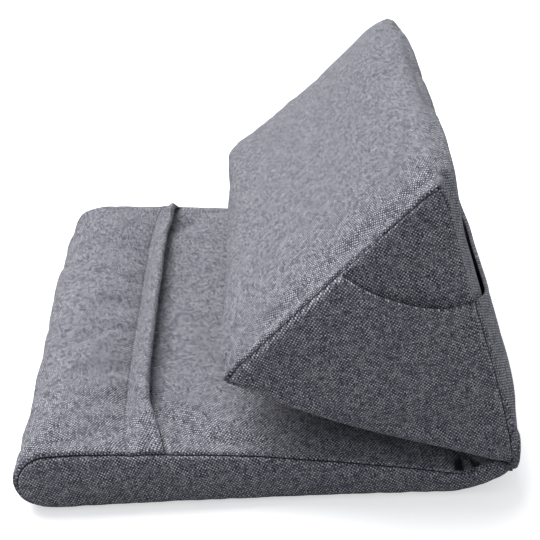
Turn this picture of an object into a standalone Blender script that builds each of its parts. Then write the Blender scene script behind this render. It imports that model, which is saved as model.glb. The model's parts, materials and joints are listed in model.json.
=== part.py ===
"""Tablet cushion: a flat base pillow with a ledge, and a wedge pillow sewn to its rear edge.

X runs across the cushion, Y from the nose to the rear hinge line and Z up from the surface it
lies on. Every cloth panel is a grid laid over the filling's form and thickened outwards.
"""

import math

import bmesh
import bpy
from mathutils import Matrix, Vector

# Whole cushion
CUSHION_WIDTH = 0.310
BASE_DEPTH = 0.240
HINGE_HEIGHT = 0.0147

# Cloth, foam and clearances
CLOTH = 0.0012
SEAM_GAP = 0.0006
FOAM_CLEARANCE = 0.0005
LAYER_GAP = 0.0004
MERGE_DISTANCE = 0.00002
TAPE_THICKNESS = 0.0008

# Base pillow, its side outline
NOSE_HEIGHT = 0.0160
SHOULDER_SETBACK = 0.0150
SHOULDER_HEIGHT = 0.0300
TOE_SETBACK = 0.0190
SOLE_HEIGHT = 0.0030
STITCH_SETBACK = 0.0545
WAIST_SETBACK = 0.0260
WAIST_HEIGHT = 0.0108
HEEL_SETBACK = 0.0340
TAPER_POWER = 1.75

# Both pillows, how they fill out between their seams
SIDE_DRAW = 0.0024
SEAM_SQUARENESS = 4
SEAM_SHARPNESS = 0.6

# Base pillow, its fullness
NOSE_CROWN = 0.0045
FRONT_CROWN = 0.0056
BASE_TOP_CROWN = 0.0045
CHANNEL_CROWN = 0.0018
GUSSET_PUFF = 0.0032
STITCH_BOW = 0.0058
BASE_SWELL_SHARE = 0.4
FLAT_CUT = 0.0005

# Ledge lip
LIP_DEPTH = 0.0118
LIP_RISE = 0.0080
LIP_THICKNESS = 0.0022
LIP_CLOTH = 0.0009
LIP_END_RUN = 0.0060
LIP_END_SHARE = 0.72

# Wedge pillow, its side outline measured from the hinge line
WEDGE_REACH = 0.1365
WEDGE_FRONT_HEIGHT = 0.0548
RIDGE_SETBACK = 0.0381
RIDGE_HEIGHT = 0.1466
RIDGE_RADIUS = 0.0018
UNDERSIDE_BOW = 0.0055
BACK_BOW = 0.0030

# Wedge pillow, its fullness
FACE_CROWN = 0.0045
RIDGE_CROWN = 0.0090
BACK_CROWN = 0.0038
UNDERSIDE_CROWN = 0.0008
SIDE_PUFF = 0.0024
FACE_RISE_SHARE = 0.25
RIDGE_SWELL_START = 0.55
BACK_SWELL_SHARE = 0.4
BACK_FADE_SHARE = 0.20

# Pockets
SIDE_HEM_FRONT_SHARE = 0.55
SIDE_HEM_REAR_SHARE = 0.60
SIDE_HEM_SAG_SHARE = 0.025
SIDE_POCKET_MOUTH = 0.0050
BACK_HEM_SHARE = 0.60
BACK_HEM_DROOP_SHARE = 0.12
BACK_POCKET_MOUTH = 0.0072
POCKET_EDGE = 0.0015

# Hinge seam
HINGE_TAPE_LENGTH = 0.0120
HINGE_TAPE_START = 0.0009
PANEL_START = 0.0060
BASE_TAIL_ANGLE = math.radians(206)

# Zip in the wedge's underside
ZIP_SETBACK = 0.0200
ZIP_TAPE_WIDTH = 0.0065
COIL_WIDTH = 0.0032
COIL_HEIGHT = 0.0013
COIL_END_MARGIN = 0.0400
SLIDER_LENGTH = 0.0090
SLIDER_WALL = 0.0012
SLIDER_CLEARANCE = 0.0003
EAR_LENGTH = 0.0024
PIN_RADIUS = 0.0006
EYE_RADIUS = 0.0018
PULLER_LENGTH = 0.0160
PULLER_WIDTH = 0.0050
PULLER_EYE_WIDTH = 0.0024
PULLER_THICKNESS = 0.0013

# Grid fineness
COLUMNS = 16
NOSE_STEPS = 4
TOE_STEPS = 3
SHOULDER_STEPS = 3
BASE_TOP_STEPS = 7
HEEL_STEPS = 3
WEDGE_STEPS = 10
RIDGE_STEPS = 4
UNDERSIDE_STEPS = 6
GUSSET_STEPS = 4
POCKET_STEPS = 7

HALF_WIDTH = CUSHION_WIDTH / 2
HINGE = Vector((BASE_DEPTH / 2, HINGE_HEIGHT))
NOSE_Y = -BASE_DEPTH / 2
TAIL_GAP = TAPE_THICKNESS / 2 + LAYER_GAP
ZIP_ROW = UNDERSIDE_STEPS + 1
COIL_LENGTH = CUSHION_WIDTH - 2 * COIL_END_MARGIN


def clear_scene():
    for old in list(bpy.data.objects):
        bpy.data.objects.remove(old, do_unlink=True)


def new_collection(name):
    collection = bpy.data.collections.new(name)
    bpy.context.scene.collection.children.link(collection)
    return collection


def new_material(name, colour, roughness, metallic=0.0):
    material = bpy.data.materials.new(name)
    material.use_nodes = True
    shader = material.node_tree.nodes["Principled BSDF"]
    shader.inputs["Base Color"].default_value = (*colour, 1.0)
    shader.inputs["Roughness"].default_value = roughness
    shader.inputs["Metallic"].default_value = metallic
    material.diffuse_color = (*colour, 1.0)
    return material


def polar(radius, angle):
    return Vector((radius * math.cos(angle), radius * math.sin(angle)))


def mix(a, b, share):
    return a + (b - a) * share


def smooth(share):
    share = min(max(share, 0.0), 1.0)
    return share * share * (3.0 - 2.0 * share)


def fullness(across):
    """How far a padded surface has risen at a share of the half width, 0 at the side seam."""
    return (1.0 - min(abs(across), 1.0) ** SEAM_SQUARENESS) ** SEAM_SHARPNESS


def hump(share):
    """A swell over a run, 0 at both ends and 1 in the middle."""
    return 4.0 * share * (1.0 - share)


def across_shares():
    """Columns from the left side seam to the right one, closer together near the seams."""
    return [math.sin(math.pi * (i / COLUMNS - 0.5)) for i in range(COLUMNS + 1)]


def outward_normals(line):
    """Unit normals to the left of a line of (y, z) points."""
    normals = []
    for i, _ in enumerate(line):
        before, after = line[max(i - 1, 0)], line[min(i + 1, len(line) - 1)]
        run = (after - before).normalized()
        normals.append(Vector((-run.y, run.x)))
    return normals


def seam_line(outline, draw=SIDE_DRAW):
    """The right side seam along an outline of (y, z) points, drawn in between its two ends."""
    steps = len(outline) - 1
    line = []
    for i, point in enumerate(outline):
        line.append(Vector((HALF_WIDTH - draw * hump(i / steps), point.x, point.y)))
    return line


def loft(seam, normals, crowns, bows):
    """Rows of points: each seam point runs across to the other seam and swells by its crown."""
    rows = []
    for point, normal, crown, bow in zip(seam, normals, crowns, bows):
        row = []
        for across in across_shares():
            rise = fullness(across)
            y = point.y + (normal.x * crown - bow) * rise
            row.append(Vector((point.x * across, y, point.z + normal.y * crown * rise)))
        rows.append(row)
    return rows


def trimmed(rows, gap):
    """The same grid with its four edges drawn back by gap along the grid's own lines."""
    result = [[point.copy() for point in row] for row in rows]
    for row in result:
        for edge, inner in ((0, 1), (-1, -2)):
            step = row[inner] - row[edge]
            row[edge] += step * min(gap / max(step.length, 1e-6), 0.5)
    for i, _ in enumerate(result[0]):
        for edge, inner in ((0, 1), (-1, -2)):
            step = result[inner][i] - result[edge][i]
            result[edge][i] = result[edge][i] + step * min(gap / max(step.length, 1e-6), 0.5)
    return result


def grid_normals(rows):
    """Outward unit normals of a grid whose columns by rows turn outwards."""
    normals = []
    last_row, last_column = len(rows) - 1, len(rows[0]) - 1
    for j in range(last_row + 1):
        line = []
        for i in range(last_column + 1):
            along = rows[j][min(i + 1, last_column)] - rows[j][max(i - 1, 0)]
            up = rows[min(j + 1, last_row)][i] - rows[max(j - 1, 0)][i]
            line.append(along.cross(up).normalized())
        normals.append(line)
    return normals


def bilinear(rows, u, v):
    """A point of the grid at shares u along its columns and v along its rows."""
    x, y = u * (len(rows[0]) - 1), v * (len(rows) - 1)
    i, j = min(int(x), len(rows[0]) - 2), min(int(y), len(rows) - 2)
    lower = mix(rows[j][i], rows[j][i + 1], x - i)
    upper = mix(rows[j + 1][i], rows[j + 1][i + 1], x - i)
    return mix(lower, upper, y - j)


def mirrored(rows):
    """The grid on the other side of the middle plane, still turned outwards."""
    flip = Vector((-1.0, 1.0, 1.0))
    return [[point * flip for point in reversed(row)] for row in rows]


def grid_mesh(rows):
    """A bmesh grid primitive whose points are laid on the rows."""
    mesh = bmesh.new()
    columns, lines = len(rows[0]), len(rows)
    bmesh.ops.create_grid(mesh, x_segments=columns - 1, y_segments=lines - 1, size=0.5)
    for vertex in mesh.verts:
        column = round((vertex.co.x + 0.5) * (columns - 1))
        line = round((vertex.co.y + 0.5) * (lines - 1))
        vertex.co = rows[line][column]
    return mesh


def finish_object(name, mesh, material, collection):
    data = bpy.data.meshes.new(name)
    mesh.to_mesh(data)
    mesh.free()
    data.materials.append(material)
    data.shade_smooth()
    data.set_sharp_from_angle(angle=math.radians(40))
    made = bpy.data.objects.new(name, data)
    collection.objects.link(made)
    return made


def cloth_panel(name, rows, material, collection, thickness=CLOTH):
    """One cut of cloth laid on the form, drawn back at its seams and thickened outwards."""
    made = finish_object(name, grid_mesh(trimmed(rows, SEAM_GAP / 2)), material, collection)
    modifier = made.modifiers.new("cloth_thickness", "SOLIDIFY")
    modifier.thickness = thickness
    modifier.offset = 1.0
    modifier.use_even_offset = True
    modifier.use_quality_normals = True
    return made


def foam_body(name, grids, material, collection):
    """The filling: every grid of the form joined, closed and drawn in by its clearance."""
    mesh = bmesh.new()
    for rows in grids:
        part = grid_mesh(rows)
        data = bpy.data.meshes.new("form")
        part.to_mesh(data)
        part.free()
        mesh.from_mesh(data)
        bpy.data.meshes.remove(data)
    bmesh.ops.remove_doubles(mesh, verts=mesh.verts, dist=MERGE_DISTANCE)
    bmesh.ops.dissolve_degenerate(mesh, dist=MERGE_DISTANCE, edges=mesh.edges)
    ridge_ends = [edge for edge in mesh.edges if edge.is_boundary]
    bmesh.ops.holes_fill(mesh, edges=ridge_ends, sides=0)
    bmesh.ops.triangulate(mesh, faces=[face for face in mesh.faces if len(face.verts) > 4])
    bmesh.ops.recalc_face_normals(mesh, faces=mesh.faces)
    mesh.normal_update()
    moves = [vertex.normal * vertex.calc_shell_factor() for vertex in mesh.verts]
    for vertex, move in zip(mesh.verts, moves):
        vertex.co -= move * FOAM_CLEARANCE
    return finish_object(name, mesh, material, collection)


def box_object(name, size, centre, material, collection):
    mesh = bmesh.new()
    bmesh.ops.create_cube(mesh, size=1.0)
    bmesh.ops.scale(mesh, vec=size, verts=mesh.verts)
    bmesh.ops.translate(mesh, vec=centre, verts=mesh.verts)
    return finish_object(name, mesh, material, collection)


def cylinder_object(name, radius, length, centre, material, collection, sides=24):
    """A cylinder lying along its object's Y."""
    mesh = bmesh.new()
    bmesh.ops.create_cone(
        mesh, cap_ends=True, segments=sides, radius1=radius, radius2=radius, depth=length
    )
    turn = Matrix.Rotation(math.pi / 2, 4, "X")
    bmesh.ops.transform(mesh, matrix=Matrix.Translation(centre) @ turn, verts=mesh.verts)
    return finish_object(name, mesh, material, collection)


def as_cutter(made, cutters):
    for collection in list(made.users_collection):
        collection.objects.unlink(made)
    cutters.objects.link(made)
    made.hide_render = True
    made.display_type = "WIRE"
    return made


def boolean(made, cutter, operation):
    modifier = made.modifiers.new(cutter.name, "BOOLEAN")
    modifier.operation = operation
    modifier.object = cutter


def combine(made, other, operation, cutters):
    """Cuts or joins a shape that is used nowhere else."""
    boolean(made, as_cutter(other, cutters), operation)
    return other


def base_outlines(tail_gap):
    """The base's side outline: the top and the sole, each from the nose tip to the tail."""
    nose = Vector((NOSE_Y, NOSE_HEIGHT))
    shoulder_y, toe_y = NOSE_Y + SHOULDER_SETBACK, NOSE_Y + TOE_SETBACK
    stitch_y, waist_y = NOSE_Y + STITCH_SETBACK, HINGE.x - WAIST_SETBACK
    tail = HINGE + polar(PANEL_START, BASE_TAIL_ANGLE)
    tail_side = polar(tail_gap, BASE_TAIL_ANGLE - math.pi / 2)

    def top_height(y):
        share = (y - shoulder_y) / (waist_y - shoulder_y)
        return mix(SHOULDER_HEIGHT, WAIST_HEIGHT, max(share, 0.0) ** TAPER_POWER)

    top = [nose]
    for i in range(1, NOSE_STEPS + 1):
        angle = math.pi / 2 * i / NOSE_STEPS
        rise = (SHOULDER_HEIGHT - NOSE_HEIGHT) * math.sin(angle)
        top.append(Vector((shoulder_y - SHOULDER_SETBACK * math.cos(angle), NOSE_HEIGHT + rise)))
    for i in range(1, SHOULDER_STEPS + 1):
        y = mix(shoulder_y, stitch_y, i / SHOULDER_STEPS)
        top.append(Vector((y, top_height(y))))
    for i in range(1, BASE_TOP_STEPS + 1):
        y = mix(stitch_y, waist_y, i / BASE_TOP_STEPS)
        top.append(Vector((y, top_height(y))))
    waist, tail_top = top[-1], tail + tail_side
    for i in range(1, HEEL_STEPS + 1):
        share = i / HEEL_STEPS
        top.append(Vector((mix(waist.x, tail_top.x, share), mix(waist.y, tail_top.y, share**2))))

    sole = [nose]
    for i in range(1, TOE_STEPS + 1):
        angle = math.pi / 2 * i / TOE_STEPS
        drop = (NOSE_HEIGHT - SOLE_HEIGHT) * math.sin(angle)
        sole.append(Vector((toe_y - TOE_SETBACK * math.cos(angle), NOSE_HEIGHT - drop)))
    heel_y, tail_sole = HINGE.x - HEEL_SETBACK, tail - tail_side
    flat_steps = len(top) - 1 - TOE_STEPS - HEEL_STEPS
    for i in range(1, flat_steps + 1):
        sole.append(Vector((mix(toe_y, heel_y, i / flat_steps), SOLE_HEIGHT)))
    for i in range(1, HEEL_STEPS + 1):
        share = i / HEEL_STEPS
        z = mix(SOLE_HEIGHT, tail_sole.y, share**2)
        sole.append(Vector((mix(heel_y, tail_sole.x, share), z)))
    return top, sole


def base_grids(tail_gap):
    """The base's form as grids: sole, front, top, and the right gusset."""
    top, sole = base_outlines(tail_gap)
    top_seam, sole_seam = seam_line(top), seam_line(sole)
    outline = list(reversed(sole)) + top[1:]
    nose = len(sole) - 1
    toe, shoulder = nose - TOE_STEPS, nose + NOSE_STEPS
    stitch = shoulder + SHOULDER_STEPS
    sole_crown = SOLE_HEIGHT - CLOTH + FLAT_CUT
    crowns, bows = [], []
    for i, point in enumerate(outline):
        bow = 0.0
        if i < toe:
            crown = sole_crown * smooth((HINGE.x - point.x) / HEEL_SETBACK)
        elif i <= shoulder:
            swell = mix(sole_crown, NOSE_CROWN, smooth((i - toe) / TOE_STEPS))
            crown = mix(swell, FRONT_CROWN, smooth((i - nose) / NOSE_STEPS))
        elif i <= stitch:
            share = (i - shoulder) / SHOULDER_STEPS
            crown = mix(FRONT_CROWN, CHANNEL_CROWN, share**4)
            bow = STITCH_BOW * smooth(share)
        else:
            share = (i - stitch) / (len(outline) - 1 - stitch)
            swell = mix(CHANNEL_CROWN, BASE_TOP_CROWN, smooth(share / BASE_SWELL_SHARE))
            crown = swell * smooth((1.0 - share) / BASE_SWELL_SHARE)
            bow = STITCH_BOW * smooth(1.0 - share / BASE_SWELL_SHARE)
        crowns.append(crown)
        bows.append(bow)
    seam = list(reversed(sole_seam)) + top_seam[1:]
    rows = loft(seam, outward_normals(outline), crowns, bows)
    gusset = []
    for j in range(GUSSET_STEPS + 1):
        share = j / GUSSET_STEPS
        line = []
        for low, high in zip(sole_seam, top_seam):
            thickness = (high - low).length / (SHOULDER_HEIGHT - SOLE_HEIGHT)
            swell = GUSSET_PUFF * min(thickness, 1.0) * hump(share) ** SEAM_SHARPNESS
            line.append(mix(low, high, share) + Vector((swell, 0.0, 0.0)))
        gusset.append(line)
    return [rows[: toe + 1], rows[toe : stitch + 1], rows[stitch:], gusset]


def build_base(parts, cutters, hinge_room, cloth, foam, tape):
    sole, front, top, gusset = base_grids(TAIL_GAP)
    cloth_panel("base_front_panel", front, cloth, parts)
    cloth_panel("base_top_panel", top, cloth, parts)
    bottom = cloth_panel("base_bottom_panel", sole, cloth, parts)
    cloth_panel("base_gusset_right", gusset, cloth, parts)
    cloth_panel("base_gusset_left", mirrored(gusset), cloth, parts)
    floor_size = (CUSHION_WIDTH * 1.5, BASE_DEPTH * 1.5, BASE_DEPTH)
    floor_place = (0.0, 0.0, -BASE_DEPTH / 2)
    floor = box_object("floor_cutter", floor_size, floor_place, cloth, cutters)
    combine(bottom, floor, "DIFFERENCE", cutters)
    build_ledge(top, parts, cloth, foam)
    form = base_grids(0.0)
    base_foam = foam_body("base_foam", form + [mirrored(form[-1])], foam, parts)
    boolean(base_foam, hinge_room, "DIFFERENCE")
    hinge_tape("base_hinge_tape", BASE_TAIL_ANGLE, tape, parts)


def height_at(rows, column, y):
    """The height of a grid's column where it passes y."""
    for lower, upper in zip(rows, rows[1:]):
        start, end = lower[column], upper[column]
        if start.y <= y <= end.y:
            return mix(start.z, end.z, (y - start.y) / (end.y - start.y))
    return rows[0][column].z if y < rows[0][column].y else rows[-1][column].z


def lip_rows(top, profile, half):
    """Rows of the lip: each is a share of the way from the stitch line to the edge, and a side."""
    stack = CLOTH + LAYER_GAP + LIP_CLOTH + LIP_THICKNESS / 2
    rows = []
    for share, side in profile:
        row = []
        for i, across in enumerate(across_shares()):
            end = smooth((abs(across) - LIP_END_SHARE) / (1.0 - LIP_END_SHARE))
            forward = SEAM_GAP + (LIP_DEPTH + LIP_END_RUN * end) * share
            y = top[0][i].y + forward
            lift = stack + LIP_RISE * (1.0 - end) * share + half * side
            row.append(Vector((top[0][i].x, y, height_at(top, i, y) + lift)))
        rows.append(row)
    return rows


def build_ledge(top, parts, cloth, foam):
    """The padded lip sewn down at the stitch line: a folded cover round a thin filler."""
    fold = ((0.0, 1), (0.5, 1), (0.92, 1), (1.0, 0), (0.92, -1), (0.5, -1), (0.0, -1))
    skin = lip_rows(top, fold, LIP_THICKNESS / 2)
    cloth_panel("ledge_lip_cover", skin, cloth, parts, thickness=LIP_CLOTH)
    strip = ((0.10, 1), (0.50, 1), (0.85, 1), (0.85, -1), (0.50, -1), (0.10, -1), (0.10, 1))
    filler = [row[1:-1] for row in lip_rows(top, strip, LIP_THICKNESS / 2 - LAYER_GAP)]
    closed_tube("ledge_lip_filler", filler, foam, parts)


def closed_tube(name, rows, material, collection):
    """A strip whose first and last rows meet, with its two open ends filled."""
    mesh = grid_mesh(rows)
    bmesh.ops.remove_doubles(mesh, verts=mesh.verts, dist=MERGE_DISTANCE)
    open_edges = [edge for edge in mesh.edges if edge.is_boundary]
    bmesh.ops.holes_fill(mesh, edges=open_edges, sides=0)
    bmesh.ops.recalc_face_normals(mesh, faces=mesh.faces)
    return finish_object(name, mesh, material, collection)


def hinge_room_cutter(material, cutters):
    """The room round the hinge line that both foams leave for the seam's tapes."""
    length = CUSHION_WIDTH * 1.5
    radius = HINGE_TAPE_LENGTH + LAYER_GAP
    made = cylinder_object("hinge_room", radius, length, (0.0, 0.0, 0.0), material, cutters, 32)
    made.rotation_euler = (0.0, 0.0, math.pi / 2)
    made.location = (0.0, HINGE.x, HINGE.y)
    return as_cutter(made, cutters)


def hinge_tape(name, angle, material, collection):
    """A flat tape from close to the hinge line into a pillow's rear seam."""
    length = HINGE_TAPE_LENGTH - HINGE_TAPE_START
    width = CUSHION_WIDTH - 2 * (SIDE_DRAW + FOAM_CLEARANCE)
    tape_size = (width, length, TAPE_THICKNESS)
    made = box_object(name, tape_size, (0.0, 0.0, 0.0), material, collection)
    middle = HINGE + polar(HINGE_TAPE_START + length / 2, angle)
    made.location = (0.0, middle.x, middle.y)
    made.rotation_euler = (angle, 0.0, 0.0)
    return made


def wedge_corners():
    front = HINGE + Vector((-WEDGE_REACH, WEDGE_FRONT_HEIGHT))
    ridge = HINGE + Vector((-RIDGE_SETBACK, RIDGE_HEIGHT))
    return front, ridge


def wedge_tail_angle():
    """The direction that halves the wedge's corner at the hinge."""
    front, ridge = wedge_corners()
    low, high = front - HINGE, ridge - HINGE
    return (math.atan2(low.y, low.x) + math.atan2(high.y, high.x)) / 2


def bowed(start, end, steps, bow, first=0.0):
    """Points from start to end, bowed outwards to the left of the run."""
    side = Vector((start.y - end.y, end.x - start.x)).normalized()
    shares = [mix(first, 1.0, i / steps) for i in range(steps + 1)]
    return [mix(start, end, s) + side * (bow * math.sin(math.pi * s)) for s in shares]


def wedge_outline(tail_gap):
    """The wedge's outline: underside, front face, round ridge and back, as separate lines."""
    front, ridge = wedge_corners()
    angle = wedge_tail_angle()
    tail = HINGE + polar(PANEL_START, angle)
    tail_side = polar(tail_gap, angle + math.pi / 2)
    front_run = (ridge - front).normalized()
    back_run = (HINGE - ridge).normalized()
    corner = front_run.angle(back_run)
    cut = RIDGE_RADIUS * math.tan(corner / 2)
    ridge_front, ridge_back = ridge - front_run * cut, ridge + back_run * cut
    inward = Vector((front_run.y, -front_run.x))
    centre = ridge_front + inward * RIDGE_RADIUS
    underside_length = (front - HINGE).length
    zip_rear = 1.0 - (ZIP_SETBACK + ZIP_TAPE_WIDTH) / underside_length
    zip_middle = 1.0 - ZIP_SETBACK / underside_length
    zip_front = 1.0 - (ZIP_SETBACK - ZIP_TAPE_WIDTH) / underside_length
    first = (HINGE_TAPE_LENGTH + CLOTH) / underside_length
    shares = [mix(first, zip_rear, i / UNDERSIDE_STEPS) for i in range(UNDERSIDE_STEPS + 1)]
    shares += [zip_middle, zip_front, 1.0]
    side = Vector((HINGE.y - front.y, front.x - HINGE.x)).normalized()
    underside = [tail + tail_side]
    for share in shares:
        bow = UNDERSIDE_BOW * math.sin(math.pi * share)
        underside.append(mix(HINGE, front, share) + side * bow)
    face = bowed(front, ridge_front, WEDGE_STEPS, 0.0)
    start = math.atan2(-inward.y, -inward.x)
    round_ridge = []
    for i in range(RIDGE_STEPS + 1):
        round_ridge.append(centre + polar(RIDGE_RADIUS, start - corner * i / RIDGE_STEPS))
    back = bowed(ridge_back, HINGE, WEDGE_STEPS, BACK_BOW)[:-1] + [tail - tail_side]
    return underside, face, round_ridge, back


def wedge_crowns(turn, crest, fall, last):
    """How far each row of the wedge swells: underside, front face, ridge and back in turn."""
    crowns = []
    for i in range(last + 1):
        if i < turn:
            crown = UNDERSIDE_CROWN * smooth(i / TOE_STEPS)
        elif i <= crest:
            share = (i - turn) / (crest - turn)
            crown = mix(UNDERSIDE_CROWN, FACE_CROWN, smooth(share / FACE_RISE_SHARE))
            rising = (share - RIDGE_SWELL_START) / (1.0 - RIDGE_SWELL_START)
            crown = mix(crown, RIDGE_CROWN, smooth(rising))
        elif i <= fall:
            crown = RIDGE_CROWN
        else:
            share = (i - fall) / (last - fall)
            crown = mix(RIDGE_CROWN, BACK_CROWN, smooth(share / BACK_SWELL_SHARE))
            crown *= smooth((1.0 - share) / BACK_FADE_SHARE)
        crowns.append(crown)
    return crowns


def wedge_grids(tail_gap):
    """The wedge's form: the underside, the wrap round its front, ridge and back, and a side."""
    underside, face, ridge, back = wedge_outline(tail_gap)
    outline = underside + face[1:] + ridge[1:] + back[1:]
    turn = len(underside) - 1
    crest = turn + len(face) - 1
    fall = crest + len(ridge) - 1
    last = len(outline) - 1
    floor_seam, face_seam, back_seam = seam_line(underside), seam_line(face), seam_line(back)
    seam = floor_seam + face_seam[1:] + seam_line(ridge, 0.0)[1:] + back_seam[1:]
    crowns = wedge_crowns(turn, crest, fall, last)
    rows = loft(seam, outward_normals(outline), crowns, [0.0] * (last + 1))
    front_to_tail, tail_to_ridge = list(reversed(floor_seam)), list(reversed(back_seam))
    steps = len(front_to_tail) - 1
    side = []
    for j in range(WEDGE_STEPS + 1):
        rise = j / WEDGE_STEPS
        line = []
        for i in range(steps + 1):
            along = i / steps
            foot = front_to_tail[i] - mix(face_seam[0], front_to_tail[-1], along)
            point = mix(face_seam[j], tail_to_ridge[j], along) + foot * (1.0 - rise) ** 2
            bubble = (hump(along) * hump(rise)) ** SEAM_SHARPNESS
            swell = SIDE_PUFF * bubble * (1.0 - rise / 2)
            line.append(point + Vector((swell, 0.0, 0.0)))
        side.append(line)
    return [rows[: turn + 1], rows[turn:], side]


def build_wedge(parts, hinge_room, cloth, foam, tape):
    """Makes the wedge and gives back the three rows that its zip tapes run between."""
    underside, wrap, side = wedge_grids(TAIL_GAP)
    cloth_panel("wedge_wrap_panel", wrap, cloth, parts)
    cloth_panel("wedge_underside_rear", underside[: ZIP_ROW + 1], cloth, parts)
    cloth_panel("wedge_underside_front", underside[ZIP_ROW + 2 :], cloth, parts)
    cloth_panel("zip_tape_rear", underside[ZIP_ROW : ZIP_ROW + 2], tape, parts)
    cloth_panel("zip_tape_front", underside[ZIP_ROW + 1 : ZIP_ROW + 3], tape, parts)
    cloth_panel("wedge_side_right", side, cloth, parts)
    cloth_panel("wedge_side_left", mirrored(side), cloth, parts)
    form = wedge_grids(0.0)
    wedge_foam = foam_body("wedge_foam", form + [mirrored(form[-1])], foam, parts)
    boolean(wedge_foam, hinge_room, "DIFFERENCE")
    hinge_tape("wedge_hinge_tape", wedge_tail_angle(), tape, parts)
    pocket = side_pocket(side)
    cloth_panel("side_pocket_right", pocket, cloth, parts)
    cloth_panel("side_pocket_left", mirrored(pocket), cloth, parts)
    cloth_panel("back_pocket", back_pocket(wrap[-WEDGE_STEPS - 1 :]), cloth, parts)
    return underside[ZIP_ROW : ZIP_ROW + 3]


def side_pocket(side):
    """The cloth that covers a side's lower part, its hem sagging between the two seams."""
    normals = grid_normals(side)
    steps = len(side[0]) - 1
    rows = []
    for j in range(POCKET_STEPS + 1):
        rise = j / POCKET_STEPS
        line = []
        for i in range(steps + 1):
            along = i / steps
            hem = mix(SIDE_HEM_FRONT_SHARE, SIDE_HEM_REAR_SHARE, along)
            hem -= SIDE_HEM_SAG_SHARE * hump(along)
            u = mix(POCKET_EDGE / WEDGE_REACH, 1.0 - POCKET_EDGE / WEDGE_REACH, along)
            v = mix(POCKET_EDGE / RIDGE_HEIGHT, hem, rise)
            slack = SIDE_POCKET_MOUTH * math.sin(math.pi * along) * rise
            lift = CLOTH + LAYER_GAP * 2.0 + slack
            line.append(bilinear(side, u, v) + bilinear(normals, u, v).normalized() * lift)
        rows.append(line)
    return rows


def back_pocket(back):
    """The cloth across the wedge's back, its hem drooping and standing off between the seams."""
    normals = grid_normals(back)
    rows = []
    for j in range(POCKET_STEPS + 1):
        fall = j / POCKET_STEPS
        line = []
        for i, across in enumerate(across_shares()):
            hem = 1.0 - BACK_HEM_SHARE + BACK_HEM_DROOP_SHARE * fullness(across)
            u = mix(POCKET_EDGE / CUSHION_WIDTH, 1.0 - POCKET_EDGE / CUSHION_WIDTH, i / COLUMNS)
            v = mix(hem, 1.0 - POCKET_EDGE / RIDGE_HEIGHT, fall)
            slack = BACK_POCKET_MOUTH * fullness(across) * smooth(1.0 - fall)
            lift = CLOTH + LAYER_GAP * 2.0 + slack
            line.append(bilinear(back, u, v) + bilinear(normals, u, v).normalized() * lift)
        rows.append(line)
    return rows


def build_zip(tape_rows, parts, cutters, coil_material, metal):
    """The coil, its slider and the puller, set on the tapes in the wedge's underside."""
    rear, middle, front = [row[COLUMNS // 2] for row in tape_rows]
    run = (front - rear).normalized()
    seat = Vector((0.0, -run.z, run.y)) * (CLOTH + LAYER_GAP)
    place = Matrix.Translation(middle + seat) @ Matrix.Rotation(math.atan2(run.z, run.y), 4, "X")
    coil_size = (COIL_LENGTH, COIL_WIDTH, COIL_HEIGHT)
    coil = box_object("zip_coil", coil_size, (0.0, 0.0, COIL_HEIGHT / 2), coil_material, parts)
    coil.matrix_world = place
    slide = Matrix.Translation((COIL_LENGTH / 2 - SLIDER_LENGTH, 0.0, 0.0))
    pin_height = build_slider(place @ slide, parts, cutters, metal)
    pivot = place @ slide @ Matrix.Translation((0.0, 0.0, pin_height))
    build_puller(pivot, parts, cutters, metal)


def build_slider(place, parts, cutters, metal):
    """A channel over the coil with two ears and a pin; gives back the pin's height."""
    inside = COIL_HEIGHT + 2 * SLIDER_CLEARANCE
    channel_width = COIL_WIDTH + 2 * SLIDER_CLEARANCE
    roof = inside + SLIDER_WALL
    body_size = (SLIDER_LENGTH, channel_width + 2 * SLIDER_WALL, roof)
    slider = box_object("zip_slider", body_size, (0.0, 0.0, roof / 2), metal, parts)
    channel_size = (SLIDER_LENGTH * 2, channel_width, inside * 2)
    channel = box_object("slider_channel", channel_size, (0.0, 0.0, 0.0), metal, cutters)
    pieces = [slider, combine(slider, channel, "DIFFERENCE", cutters)]
    pin_height = roof + EYE_RADIUS + SLIDER_CLEARANCE
    eye_room = PULLER_EYE_WIDTH + 2 * SLIDER_CLEARANCE
    ear_top = pin_height + PIN_RADIUS * 2
    ear_size = (EAR_LENGTH, SLIDER_WALL, ear_top - inside)
    for name, sign in (("slider_ear_rear", -1), ("slider_ear_front", 1)):
        ear_place = (0.0, sign * (eye_room + SLIDER_WALL) / 2, (ear_top + inside) / 2)
        ear = box_object(name, ear_size, ear_place, metal, cutters)
        pieces.append(combine(slider, ear, "UNION", cutters))
    pin_length, pin_place = eye_room + SLIDER_WALL, (0.0, 0.0, pin_height)
    pin = cylinder_object("slider_pin", PIN_RADIUS, pin_length, pin_place, metal, cutters, 12)
    pieces.append(combine(slider, pin, "UNION", cutters))
    for piece in pieces:
        piece.matrix_world = place
    return pin_height


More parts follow.
